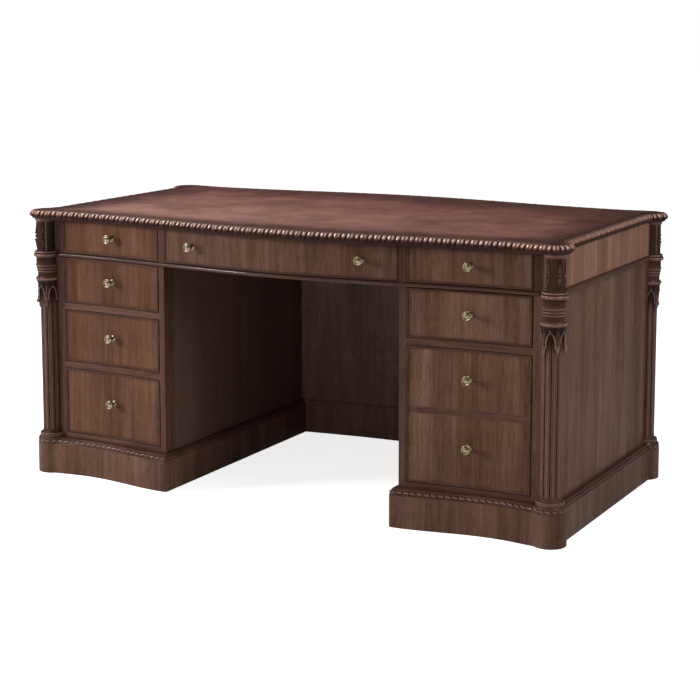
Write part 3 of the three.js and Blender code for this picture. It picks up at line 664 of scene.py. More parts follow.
def brass():
    name = "aged_brass"
    if name in bpy.data.materials:
        return bpy.data.materials[name]
    tones = bpy.context.scene.desk_colours
    dull, bright = (*tones.brass_dull, 1.0), (*tones.brass_bright, 1.0)
    material, tree, shader, place = new_material(name)
    tarnish = stretch(tree, noise(tree, place, 260.0, 4.0, 0.65), 0.35, 0.65)
    wear = use_group(tree, wear_and_light_group(), {
        "Color": mix_colour(tree, tarnish, dull, bright), "Relief": kept_mark(tree, "relief"),
        "Rubbed": bright, "Hollow": (0.15, 0.12, 0.06, 1.0), "Rub": 0.9, "Shade": 0.8,
    })
    feed(tree, shader, {
        "Base Color": wear["Color"], "Metallic": 1.0, "Roughness": stretch(tree, tarnish, 0.0, 1.0, 0.48, 0.3),
        "Normal": bumps(tree, tarnish, 0.15, 0.2 * MM),
    })
    return material


def refinish(node_name, material):
    """Gives a CAD node that stays in view a better finish."""
    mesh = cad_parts[node_name].data
    mesh.materials.clear()
    mesh.materials.append(material)


# Outline of the top

TOP_STEPS = (90, 12)
WELL_LIP = 0.8 * MM
WELL_LIP_DROP = 0.5 * MM
WELL_DEPTH = 2.1 * MM
LEATHER_THICKNESS = 1.8 * MM
LEATHER_ROLL = 0.0022
LEATHER_ROLL_DROP = 0.45 * MM


def rim_quarter(long_steps, corner_steps):
    """From the middle of a long side to the middle of an end."""
    long = [(x, wave(RIM_LINE, x)) for x in spread(0.0, COLUMN_X, long_steps)]
    corner = arc((COLUMN_X, COLUMN_Y), RIM_CORNER_RADIUS, 90, 0, corner_steps)[1:]
    flare = [(wave(RIM_END_LINE, y), y) for y in spread(COLUMN_Y, RIM_END_FLAT, corner_steps)][1:]
    end = [(RIM_END_REACH, y) for y in spread(RIM_END_FLAT, 0.0, long_steps // 3)][1:]
    return long + corner + flare + end


def all_round(quarter):
    return [
        *mirrored(quarter, 1, -1),
        *mirrored(quarter, 1, 1)[::-1][1:],
        *mirrored(quarter, -1, 1)[1:],
        *mirrored(quarter, -1, -1)[::-1][1:-1],
    ]


def drawn_in(points, depth):
    """A closed anticlockwise outline drawn in by an even depth."""
    moved = []
    for i, (x, y) in enumerate(points):
        (ax, ay), (bx, by) = points[i - 1], points[(i + 1) % len(points)]
        reach = math.hypot(bx - ax, by - ay)
        moved.append((x - depth * (by - ay) / reach, y + depth * (bx - ax) / reach))
    return moved


def leather_reach(x, clearance):
    return wave(RIM_LINE, x) - LEATHER_INSET - clearance


def leather_edge(x, y, clearance):
    """The place on the leather's outline that faces a place on the rim."""
    half = RIM_END_REACH - LEATHER_INSET - clearance
    near_x = min(max(x, -half), half)
    reach = leather_reach(near_x, clearance)
    return near_x, (math.copysign(reach, y) if abs(x) <= half else min(max(y, -reach), reach))


class DESK_OT_top_boards(Operator):
    """Wood border of the top, with the well for the leather"""

    bl_idname = "desk.top_boards"
    bl_label = "Top Boards"

    def execute(self, context):
        outer = drawn_in(all_round(rim_quarter(*TOP_STEPS)), RIM_DEPTH + RIM_GLUE_GAP)
        well = [leather_edge(x, y, 0.0) for x, y in outer]
        lip = [leather_edge(x, y, -WELL_LIP) for x, y in outer]
        rings = [[(x, y, z) for x, y in outline] for outline, z in (
            (outer, TOP_UNDERSIDE), (outer, DESK_HEIGHT), (lip, DESK_HEIGHT), (well, DESK_HEIGHT - WELL_LIP_DROP),
            (well, DESK_HEIGHT - WELL_DEPTH),
        )]
        half = RIM_END_REACH - LEATHER_INSET
        corner = leather_reach(half, 0.0)

        def is_end(centre):
            return int(abs(centre[0]) - half > abs(centre[1]) - corner and abs(centre[0]) > half - MM)

        finishes = [veneer("top_long", "x", seed=11.0, shade=1.05, warm=1.04, gloss=0.6),
                    wood("walnut_top_end", tones_of("carved"), "y", seed=12.0, shade=0.85, stripe=0.5, gloss=0.6)]
        make_piece("top_boards", ring_skin(rings), finishes, stands_for=("top_panel",), kind_of=is_end)
        return {"FINISHED"}


def near_edges(steps, close):
    """Even places from -1 to 1, with more of them close to both ends."""
    inner = [p for p in spread(-1.0, 1.0, steps) if abs(p) < 1.0 - close[-1]]
    return [-1.0 + c for c in close] + inner + [1.0 - c for c in reversed(close)]


class DESK_OT_leather(Operator):
    """Leather of the writing surface, with its edge burnished dark"""

    bl_idname = "desk.leather"
    bl_label = "Leather"

    def execute(self, context):
        half = RIM_END_REACH - LEATHER_INSET - SEAT_GAP
        shares_u = near_edges(150, (0.0, 0.002, 0.005, 0.012))
        shares_v = near_edges(80, (0.0, 0.004, 0.01, 0.02))

        def place(u, v, z):
            x = u * half
            return x, v * leather_reach(x, SEAT_GAP), z

        def to_edge(u, v):
            x, y, _ = place(u, v, 0.0)
            return min(half - abs(x), leather_reach(x, SEAT_GAP) - abs(y))

        def face(u, v):
            drop = LEATHER_ROLL_DROP * (1 - smooth(to_edge(u, v) / LEATHER_ROLL))
            return place(u, v, DESK_HEIGHT - drop)

        shape = grid_board(shares_u, shares_v, face, lambda u, v: place(u, v, DESK_HEIGHT - LEATHER_THICKNESS))
        edge = [to_edge(u, v) for u in shares_u for v in shares_v] * 2
        make_piece("writing_leather", shape, leather(), stands_for=("leather_inlay",),
                   marks={"to_edge": edge})
        return {"FINISHED"}


# Carved edge

# Section of the edge from its inner top corner, in millimetres: how far in from the crest, height,
# and how far a full groove carries the point in and down
EDGE_SECTION = (
    (22.0, 775.0, 0.0, 0.0), (14.6, 775.0, 0.0, 0.0), (14.1, 774.4, 0.0, 0.0), (13.4, 774.3, 0.0, 0.0),
    (12.8, 774.8, 0.2, 0.6), (11.2, 775.0, 0.5, 2.2), (9.0, 774.8, 1.2, 3.4), (6.8, 774.1, 2.2, 3.9),
    (4.8, 772.8, 3.2, 3.6), (3.1, 771.0, 4.2, 2.6), (1.9, 768.8, 5.0, 1.5), (1.2, 766.4, 5.5, 0.5),
    (1.1, 764.0, 5.7, -0.3), (1.6, 761.6, 5.4, -1.0), (2.8, 759.5, 4.6, -1.5), (4.6, 757.9, 3.2, -1.6),
    (6.8, 757.1, 1.4, -1.0), (8.4, 756.5, 0.0, 0.0), (8.8, 754.0, 0.0, 0.0), (10.6, 752.0, 0.0, 0.0),
    (14.0, 750.6, 0.0, 0.0), (22.0, 750.0, 0.0, 0.0),
)

# Places along one repeat of the edge, close together beside the grooves
REPEAT_PLACES = (
    0.0, 0.012, 0.024, 0.034, 0.05, 0.075, 0.11, 0.16, 0.22, 0.28, 0.34, 0.40, 0.455, 0.50, 0.54, 0.57, 0.588, 0.60,
    0.615, 0.632, 0.645, 0.658, 0.672, 0.69, 0.715, 0.75, 0.79, 0.83, 0.87, 0.905, 0.93, 0.948, 0.96, 0.975, 0.988,
)
WIDE_LOBE_CENTRE = 0.31
NARROW_LOBE_CENTRE = 0.81
EDGE_STEPS = (160, 24)
EDGE_HOLLOW_SHARE = 0.875
EDGE_FULL_DEPTH = 5.7 * MM

# Millimetres of height over which a place on the edge passes from high to low
EDGE_LOW_START = 773.0
EDGE_LOW_FALL = 15.0


@built_once("Carved Edge")
def edge_tree(name):
    """Cuts the grooves between a wide lobe and a narrow one, again and again along the edge."""
    tree, given, out = new_tree(name, "GeometryNodeTree", [
        ("Geometry", "NodeSocketGeometry", None),
        ("Repeat", "NodeSocketFloat", 0.0375),
        ("Wide Lobe", "NodeSocketFloat", 0.56),
        ("Narrow Lobe", "NodeSocketFloat", 0.30),
        ("Groove", "NodeSocketFloat", 1.0),
        ("Slant", "NodeSocketFloat", 0.05),
        ("Finish", "NodeSocketMaterial", None),
    ], [("Geometry", "NodeSocketGeometry")])
    low, carve = read_mark(tree, "low"), read_mark(tree, "carve", "FLOAT_VECTOR")
    turned_on = calc(tree, "DIVIDE", read_mark(tree, "along"), given["Repeat"])
    phase = calc(tree, "FRACT", calc(tree, "MULTIPLY_ADD", low, given["Slant"], turned_on))

    def lobe(centre, width):
        off = calc(tree, "DIVIDE", calc(tree, "SUBTRACT", phase, centre), product(tree, width, 0.5))
        off = calc(tree, "SUBTRACT", 1.0, product(tree, off, off))
        return calc(tree, "SQRT", calc(tree, "MAXIMUM", off, 0.0))

    wide = lobe(WIDE_LOBE_CENTRE, given["Wide Lobe"])
    narrow = lobe(NARROW_LOBE_CENTRE, product(tree, given["Narrow Lobe"], stretch(tree, low, 0.3, 1.0, 1.0, 0.72)))
    lobes = calc(tree, "MAXIMUM", wide, narrow)
    dip = product(tree, stretch(tree, low, 0.0, 0.5, 0.22, 0.0), narrow)
    groove = calc(tree, "SUBTRACT", 1.0, calc(tree, "SUBTRACT", lobes, dip))
    offset = scaled(tree, carve, product(tree, groove, given["Groove"]))
    # Relief for the finish: the lobes' upper crests rubbed pale with a painted highlight; a painted shade in the
    # grooves, in a dark line down each wide lobe and over the lower part of the edge, where its shadow falls
    share = calc(tree, "DIVIDE", vector(tree, "LENGTH", carve), EDGE_FULL_DEPTH)
    carved = stretch(tree, share, 0.1, 0.3)
    off_middle = calc(tree, "ABSOLUTE", calc(tree, "SUBTRACT", phase, WIDE_LOBE_CENTRE))
    vein = product(tree, stretch(tree, off_middle, 0.075, 0.02), carved)
    crest = product(tree, stretch(tree, calc(tree, "SUBTRACT", 1.0, lobes), 0.5, 0.15), carved,
                    stretch(tree, low, 0.55, 0.2), stretch(tree, vein, 0.0, 1.0, 1.0, 0.0))
    sunk = product(tree, stretch(tree, groove, 0.3, 0.8), stretch(tree, low, 0.1, 0.6, 0.5, 1.0),
                   stretch(tree, share, 0.05, 0.3, 0.0, 0.6))
    for other in (product(tree, vein, 0.3), stretch(tree, low, 0.45, 0.85, 0.0, 0.7)):
        sunk = calc(tree, "MAXIMUM", sunk, other)
    end_carving(tree, given, out, offset, crest, sunk)
    return tree


class DESK_OT_carved_edge(Operator):
    """Carved edge of wide and narrow lobes, in the four lengths that meet in the hollows of the long sides"""

    bl_idname = "desk.carved_edge"
    bl_label = "Carved Edge"

    def execute(self, context):
        crest = all_round(rim_quarter(*EDGE_STEPS))
        inner = drawn_in(crest, RIM_DEPTH)
        half, hollow = len(crest) // 2, round(EDGE_STEPS[0] * EDGE_HOLLOW_SHARE)
        lengths = (("front", -hollow, hollow), ("right", hollow, half - hollow),
                   ("back", half - hollow, half + hollow), ("left", half + hollow, 2 * half - hollow))
        for name, start, stop in lengths:
            route = np.array([(*crest[i % len(crest)], *inner[i % len(crest)]) for i in range(start, stop + 1)])
            self.carve(name, route, context.scene.desk_sizes)
        return {"FINISHED"}

    def carve(self, name, route, sizes):
        reaches = walked(route[:, :2])
        length = reaches[-1] - 2 * SEAT_GAP
        repeats = round(length / sizes.lobe_repeat)
        places = [(k + share) / repeats for k in range(repeats) for share in REPEAT_PLACES] + [1.0]
        along = [place * length for place in places]
        stations = [[np.interp(a + SEAT_GAP, reaches, route[:, axis]) for axis in range(4)] for a in along]
        rings, carve, distances, low = [], [], [], []
        for (x, y, inner_x, inner_y), reached in zip(stations, along):
            inward = np.array([inner_x - x, inner_y - y]) / RIM_DEPTH
            rings.append([(x + inward[0] * d * MM, y + inward[1] * d * MM, z * MM) for d, z, _, _ in EDGE_SECTION])
            carve += [(inward[0] * k * MM, inward[1] * k * MM, -down * MM) for _, _, k, down in EDGE_SECTION]
            distances += [reached] * len(EDGE_SECTION)
            low += [smooth((EDGE_LOW_START - z) / EDGE_LOW_FALL) for _, z, _, _ in EDGE_SECTION]
        piece = bare_object(f"lobed_edge_{name}", *ring_skin(rings))
        mark(piece, "along", distances)
        mark(piece, "low", low)
        mark(piece, "carve", carve, "FLOAT_VECTOR")
        grow(piece, edge_tree(), {
            "Repeat": length / repeats, "Wide Lobe": sizes.wide_lobe, "Narrow Lobe": sizes.narrow_lobe,
            "Groove": sizes.groove_depth / EDGE_FULL_DEPTH, "Finish": edge_carving(name),
        })
        harden(piece, crease=60.0)
        settle_in(piece, "case", (f"carved_edge_{name}",))


# Frieze, pedestals and backs

BEAD_PLACES = (0.0, 0.03, 0.09, 0.18, 0.3, 0.42, 0.5, 0.58, 0.7, 0.82, 0.91, 0.97, 1.0)
WAIST_BEAD_REACH = 8 * MM
WAIST_BEAD_FADE = 0.006
END_MOULD_HEIGHT = 0.016
END_MOULD_REACH = 6 * MM
END_MOULD_STOP = 0.002
MODESTY_FOOT_EXTRA = 8 * MM
FRIEZE_EASE = 0.4 * MM
BOARD_EASE = 0.5 * MM
SIDE_DARKENING_ROOM = 0.012
SIDE_DARKENING_WIDTH = 0.016


def bead_levels(foot, head):
    """Heights and reach shares of a half-round bead."""
    return [(foot + (head - foot) * up, math.sqrt(max(0.0, 1 - (2 * up - 1) ** 2))) for up in BEAD_PLACES]


def reach_at(levels, z):
    return float(np.interp(z, [level for level, _ in levels], [reach for _, reach in levels]))


def with_places(places, *extra):
    return sorted(set(places) | set(extra))


def back_outer(x, z):
    return x, wave(CARCASS_LINE, x), z


def back_inner(x, z):
    return x, wave(CARCASS_LINE, x) - BACK_THICKNESS, z


class DESK_OT_frieze(Operator):
    """Frieze rings round the case: the waist bead, the stiles between the drawers, the back and the ends"""

    bl_idname = "desk.frieze"
    bl_label = "Frieze"

    def execute(self, context):
        bead = bead_levels(WAIST, BEAD_TOP)
        end = COLUMN_X - WAIST_RING_REACH - SEAT_GAP
        head = TOP_UNDERSIDE - SEAT_GAP

        def out(x, z):
            if z > BEAD_TOP:
                return 0.0
            return WAIST_BEAD_REACH * reach_at(bead, z) * smooth((end - abs(x)) / WAIST_BEAD_FADE)

        def is_solid(x, z):
            bay = OPENING_INNER < abs(x) < OPENING_OUTER or abs(x) < CENTRE_HALF
            return z < BEAD_TOP or not bay

        def is_rail(centre):
            return int(centre[2] < BEAD_TOP)

        levels = [z for z, _ in bead] + [head]
        breaks = (end, end - WAIST_BEAD_FADE / 2, end - WAIST_BEAD_FADE, OPENING_OUTER, OPENING_INNER, CENTRE_HALF)
        places = with_places(run(-CASE_END_X, CASE_END_X), *(side * x for side in (-1, 1) for x in breaks))
        rail = rail_wood("waist_bead", seed=3.0, stripe=0.5, coat=0.45)
        stile = rail_wood("frieze_stile", "z", seed=4.0, shade=1.1)
        shape = grid_board(places, levels, lambda x, z: (x, -(wave(CARCASS_LINE, x) + out(x, z)), z),
                           lambda x, z: (x, -FRAME_BACK_Y, z), is_solid)
        make_piece("frieze_frame", shape, [stile, rail], stands_for=("frieze_front_frame",), kind_of=is_rail,
                   eased=FRIEZE_EASE)
        shape = grid_board(places, levels, lambda x, z: (x, wave(CARCASS_LINE, x) + out(x, z), z), back_inner)
        make_piece("frieze_back_board", shape, [veneer("frieze_back", seed=6.0, shade=0.95), rail],
                   stands_for=("frieze_back",), kind_of=is_rail, eased=FRIEZE_EASE)
        self.ends()
        return {"FINISHED"}

    def ends(self):
        mould = bead_levels(WAIST, WAIST + END_MOULD_HEIGHT)
        mould_top = mould[-1][0]
        reach = COLUMN_Y - WAIST_RING_REACH - SEAT_GAP
        levels = [z for z, _ in mould] + [TOP_UNDERSIDE - SEAT_GAP]
        places = with_places([-CASE_END_Y, CASE_END_Y], -reach, reach, END_MOULD_STOP - reach, reach - END_MOULD_STOP)
        for name, sign in SIDES:
            def face(y, z, sign=sign):
                out = END_MOULD_REACH * reach_at(mould, z) if abs(y) < reach and z <= mould_top else 0.0
                return sign * (SIDE_FACE_X + out), y, z

            shape = grid_board(places, levels, face, lambda y, z, sign=sign: (sign * SIDE_INNER_X, y, z))
            # The frieze ends are painted brighter than the side panels, a painted sheen, and the right end brighter
            # than the left, which the lamps light less
            finishes = [veneer(f"frieze_end_{name}", seed=7.0 + sign, shade=1.7 + 0.4 * sign, stripe=1.1),
                        rail_wood("end_mould", "y", seed=8.0, shine=0.04)]
            make_piece(f"frieze_end_board_{name}", shape, finishes, stands_for=(f"frieze_end_{name}",),
                       kind_of=lambda centre: int(centre[2] < mould_top), eased=FRIEZE_EASE)


class DESK_OT_pedestals(Operator):
    """Front frames of the pedestals, with their drawer openings, and their backs and sides"""

    bl_idname = "desk.pedestals"
    bl_label = "Pedestals"

    def execute(self, context):
        foot, head = CARCASS_FOOT + SEAT_GAP, WAIST - SEAT_GAP
        for name, sign in SIDES:
            bays = [(low, high) for key, (_, _, low, high) in DRAWERS.items() if key.startswith(name)]
            levels = with_places([foot, head], *(z for bay in bays for z in bay if z < head))
            places = with_places(run(KNEE_X, CASE_END_X), OPENING_INNER, OPENING_OUTER)

            def is_solid(x, z, bays=bays):
                return not (OPENING_INNER < x < OPENING_OUTER and any(low < z < high for low, high in bays))

            def on_side(face, sign=sign):
                return lambda x, z: (sign * x, *face(x, z)[1:])

            shape = grid_board(places, levels, on_side(lambda x, z: (x, -wave(CARCASS_LINE, x), z)),
                               on_side(lambda x, z: (x, -FRAME_BACK_Y, z)), is_solid)
            # The drawer rails' shade stands in part for the light their top faces reflect: a painted reflection
            finishes = [rail_wood(f"stile_{name}", "z", seed=9.0 + sign, shade=1.38),
                        rail_wood("drawer_rail", seed=13.0, shade=1.45)]
            make_piece(f"pedestal_face_{name}", shape, finishes, stands_for=(f"pedestal_frame_{name}",),
                       kind_of=lambda centre: int(OPENING_INNER < abs(centre[0]) < OPENING_OUTER), eased=BOARD_EASE)
            shape = grid_board(run(KNEE_X, CASE_END_X), [foot, head], on_side(back_outer), on_side(back_inner))
            make_piece(f"pedestal_back_board_{name}", shape, veneer(f"back_{name}", seed=14.0 + sign),
                       stands_for=(f"pedestal_back_{name}",), eased=BOARD_EASE)
            middle = (sign * SIDE_FACE_X, 0.0, (foot + head) / 2)
            half = (0.5, CASE_END_Y - SIDE_DARKENING_ROOM, (head - foot) / 2)
            refinish(f"pedestal_side_{name}", veneer(f"end_panel_{name}", seed=16.0 + sign, shade=1.12, warm=1.04,
                                                     stripe=1.35, borders=(middle, half, SIDE_DARKENING_WIDTH)))
            refinish(f"pedestal_knee_side_{name}", veneer(f"knee_panel_{name}", seed=18.0 + sign, shade=1.3, warm=0.82,
                                                          stripe=0.35))
        for name in ("dust_board", "frieze_divider_left", "frieze_divider_right"):
            refinish(name, drawer_wood())
        return {"FINISHED"}


class DESK_OT_modesty(Operator):
    """Panel across the back of the kneehole and the plinth under it"""

    bl_idname = "desk.modesty"
    bl_label = "Modesty Panel"

    def execute(self, context):
        half = KNEE_X - SEAT_GAP
        shape = grid_board(run(-half, half), [CARCASS_FOOT + SEAT_GAP, WAIST - SEAT_GAP], back_outer, back_inner)

        def faces_back(centre):
            return int(centre[1] > wave(CARCASS_LINE, centre[0]) - BACK_THICKNESS / 2)

        # The kneehole face is painted far brighter than the back face: painted light in the shade of the kneehole
        finishes = [veneer("modesty", seed=21.0, shade=2.8, warm=0.8), veneer("back_middle", seed=19.0)]
        make_piece("modesty_board", shape, finishes, stands_for=("modesty_panel",), kind_of=faces_back,
                   eased=BOARD_EASE)
        rings = []
        for z, inset in [(0.0, 0.0), (PLINTH_TOP - MM, 0.0), (PLINTH_TOP, 0.03)] + foot_mould():
            half = PLINTH_KNEE_X + (KNEE_X - PLINTH_KNEE_X) * inset * (z > PLINTH_TOP) - SEAT_GAP
            places = spread(-half, half, 60)
            outer = [(x, wave(PLINTH_LINE, x) + (wave(CARCASS_LINE, x) - wave(PLINTH_LINE, x)) * inset, z)
                     for x in places]
            inner = [(x, wave(CARCASS_LINE, x) - BACK_THICKNESS - MODESTY_FOOT_EXTRA * (1 - inset), z) for x in places]
            rings.append(outer + inner[::-1])
        # The kneehole face of the foot is painted far brighter than its back face: painted light in the shade of the
        # kneehole
        finishes = [veneer("modesty_plinth", seed=22.0, shade=2.7, warm=0.8),
                    veneer("plinth_middle", seed=26.0, shade=1.17, warm=0.95, stripe=1.1)]
        make_piece("modesty_foot", ring_skin(rings), finishes, stands_for=("modesty_plinth",), kind_of=faces_back)
        return {"FINISHED"}


# Feet of the pedestals

# Section of the moulding over a plinth: share of its height, inset share, and depth of its carving
FOOT_MOULD = (
    (0.0, 0.14, 0.0), (0.02, 0.08, 0.0), (0.08, 0.05, 0.0), (0.13, 0.07, 0.0), (0.16, 0.13, 0.0), (0.19, 0.14, 0.0),
    (0.22, 0.09, 0.3), (0.27, 0.04, 0.7), (0.33, 0.02, 0.95), (0.39, 0.02, 1.0), (0.45, 0.04, 1.0), (0.51, 0.09, 0.95),
    (0.56, 0.16, 0.7), (0.60, 0.23, 0.3), (0.63, 0.28, 0.0), (0.67, 0.29, 0.0), (0.70, 0.27, 0.0), (0.75, 0.27, 0.0),
    (0.80, 0.32, 0.0), (0.86, 0.50, 0.0), (0.93, 0.70, 0.0), (1.0, 0.84, 0.0),
)
KNEE_RADII = (0.010, 0.0015)
PLINTH_EASE = 1.2 * MM

# Where the leaves of the moulding are cut, where they start by the knees, and how they fade on the side
LEAF_STEP = 0.0011
FRONT_LEAF_Y = 0.41
KNEE_LEAF_ROOM = 0.008
KNEE_LEAF_START = 0.006
KNEE_LEAF_RUN = 0.012
SIDE_LEAF_FADE = 0.7
SIDE_LEAF_ROOM = 0.03


def foot_mould():
    """Heights and inset shares of the moulding over the plinth: a fillet, a carved torus and a cove."""
    foot = PLINTH_TOP + SEAT_GAP
    return [(foot + (CARCASS_FOOT - foot) * up, inset) for up, inset, _ in FOOT_MOULD]


def foot_half(knee_radius):
    """Stations round half a pedestal foot: each place on the plinth's face, and its place under the case."""
    end_turn = -math.degrees(math.acos((PLINTH_SIDE_X - COLUMN_X) / PLINTH_BLOCK_RADIUS))
    knee_y = wave(PLINTH_LINE, PLINTH_KNEE_X) - knee_radius
    case_corner = (KNEE_X, wave(CARCASS_LINE, KNEE_X))
    knee = [(p, case_corner) for p in arc((PLINTH_KNEE_X + knee_radius, knee_y), knee_radius, 180, 90, 5)]
    block = list(zip(*(arc((COLUMN_X, COLUMN_Y), radius, BLOCK_START_TURN, end_turn, 30)
                       for radius in (PLINTH_BLOCK_RADIUS, BASE_RING_RADIUS))))
    start, stop = PLINTH_KNEE_X + knee_radius, block[0][0][0]
    front = []
    for share in spread(0.0, 1.0, 36)[1:-1]:
        x, case_x = start + share * (stop - start), KNEE_X + share * (CASE_END_X - KNEE_X)
        front.append(((x, wave(PLINTH_LINE, x)), (case_x, wave(CARCASS_LINE, case_x))))
    end_y = block[-1][0][1] - 2 * MM
    return knee + front + block + [((PLINTH_SIDE_X, end_y), (SIDE_FACE_X, end_y))]


def foot_ring(inset):
    """Outline of a right pedestal foot, drawn in by a share of the way from plinth face to case face."""
    halves = [[(p[0] + (c[0] - p[0]) * inset, p[1] + (c[1] - p[1]) * inset) for p, c in foot_half(radius)]
              for radius in KNEE_RADII]
    return mirrored(halves[0], 1, -1) + halves[1][::-1]


@built_once("Leaf Band")
def leaf_band_tree(name):
    """Carves slanting leaves into the torus of a foot moulding."""
    tree, given, out = new_tree(name, "GeometryNodeTree", [
        ("Geometry", "NodeSocketGeometry", None),
        ("Leaf Length", "NodeSocketFloat", 0.019),
        ("Slant", "NodeSocketFloat", 1.3),
        ("Depth", "NodeSocketFloat", 0.0030),
        ("Finish", "NodeSocketMaterial", None),
    ], [("Geometry", "NodeSocketGeometry")])
    room = product(tree, read_mark(tree, "room"), read_mark(tree, "amount"))
    turned_on = calc(tree, "DIVIDE", read_mark(tree, "along"), given["Leaf Length"])
    phase = calc(tree, "FRACT", calc(tree, "MULTIPLY_ADD", read_mark(tree, "up"), given["Slant"], turned_on))
    off = calc(tree, "DIVIDE", calc(tree, "ABSOLUTE", calc(tree, "SUBTRACT", phase, 0.5)), 0.5)
    swell = calc(tree, "SQRT", calc(tree, "MAXIMUM", calc(tree, "SUBTRACT", 1.0, calc(tree, "POWER", off, 2.4)), 0.0))
    vein = stretch(tree, off, 0.0, 0.22, 0.35, 0.0, "SMOOTHSTEP")
    cut = calc(tree, "ADD", calc(tree, "SUBTRACT", 1.0, swell), vein)
    offset = scaled(tree, read_mark(tree, "inward", "FLOAT_VECTOR"), product(tree, cut, given["Depth"], room))
    # Relief for the finish: the leaves' swells rubbed pale with a painted highlight, their cuts given a painted shade
    crest = product(tree, stretch(tree, cut, 0.3, 0.08), room)
    sunk = product(tree, stretch(tree, cut, 0.22, 0.5), room)
    end_carving(tree, given, out, offset, crest, sunk)
    return tree


class DESK_OT_feet(Operator):
    """Plinth frames of the pedestals and the mouldings on them"""

    bl_idname = "desk.feet"
    bl_label = "Pedestal Feet"

    def execute(self, context):
        low, high = PLINTH_KNEE_X + PLINTH_WALL, PLINTH_SIDE_X - PLINTH_WALL
        outline = foot_ring(0.0)
        hollow = [(min(max(x, low), high), min(max(y, -FRAME_BACK_Y), FRAME_BACK_Y)) for x, y in outline]
        for name, sign in SIDES:
            rings = [[(x * sign, y, z) for x, y in ring] for ring, z in
                     ((outline, 0.0), (outline, PLINTH_TOP), (hollow, PLINTH_TOP), (hollow, 0.0))]
            make_piece(f"plinth_frame_{name}", ring_skin(rings, capped=False),
                       veneer(f"plinth_{name}", seed=24.0 + sign, shade=1.17, warm=0.95, stripe=1.1),
                       stands_for=(f"plinth_{name}",), eased=PLINTH_EASE)
            self.moulding(name, sign)
        return {"FINISHED"}

    def moulding(self, name, sign):
        """The moulding on a plinth, its leaves carved in full in front, low on the side and not by the knees."""
        stations = np.hstack([foot_ring(0.0), foot_ring(1.0)])
        closed = np.concatenate([stations, stations[:1]])
        reaches = walked(closed[:, :2])
        along, ring = [], []
        for i in range(len(stations)):
            reach = reaches[i + 1] - reaches[i]
            middle = (closed[i] + closed[i + 1]) / 2
            carved = middle[0] > PLINTH_KNEE_X + KNEE_LEAF_ROOM or middle[1] < -FRONT_LEAF_Y
            steps = max(1, math.ceil(reach / LEAF_STEP)) if carved else 1
            for share in spread(0.0, 1.0, steps)[:-1]:
                along.append(reaches[i] + reach * share)
                ring.append(closed[i] + (closed[i + 1] - closed[i]) * share)
        ring = np.array(ring)
        ahead, behind = np.roll(ring[:, :2], -1, axis=0), np.roll(ring[:, :2], 1, axis=0)
        run_on = ahead - behind
        inward = np.stack([-run_on[:, 1], run_on[:, 0]], axis=1) / np.hypot(*run_on.T)[:, None]
        amount = []
        for x, y, _, _ in ring:
            knee = smooth((x - PLINTH_KNEE_X - KNEE_LEAF_START) / KNEE_LEAF_RUN)
            on_side = smooth((x - PLINTH_SIDE_X + 2 * MM) / MM) * (abs(y) < COLUMN_Y - SIDE_LEAF_ROOM)
            side = 1 - SIDE_LEAF_FADE * on_side
            amount.append(knee * side)
        rings = [[(sign * (px + (cx - px) * inset), py + (cy - py) * inset, z) for px, py, cx, cy in ring]
                 for z, inset in foot_mould()]
        piece = bare_object(f"foot_moulding_{name}", *ring_skin(rings))
        layers = len(FOOT_MOULD)
        mark(piece, "along", along * layers)
        mark(piece, "amount", amount * layers)
        mark(piece, "room", [room for _, _, room in FOOT_MOULD for _ in ring])
        mark(piece, "up", [up for up, _, _ in FOOT_MOULD for _ in ring])
        mark(piece, "inward", [(sign * u, v, 0.0) for u, v in inward] * layers, "FLOAT_VECTOR")
        grow(piece, leaf_band_tree(), {"Finish": carving("feet", 0.95, 0.5)})
        harden(piece, crease=50.0)
        settle_in(piece, "case", (f"base_board_{name}",))


# Corner columns

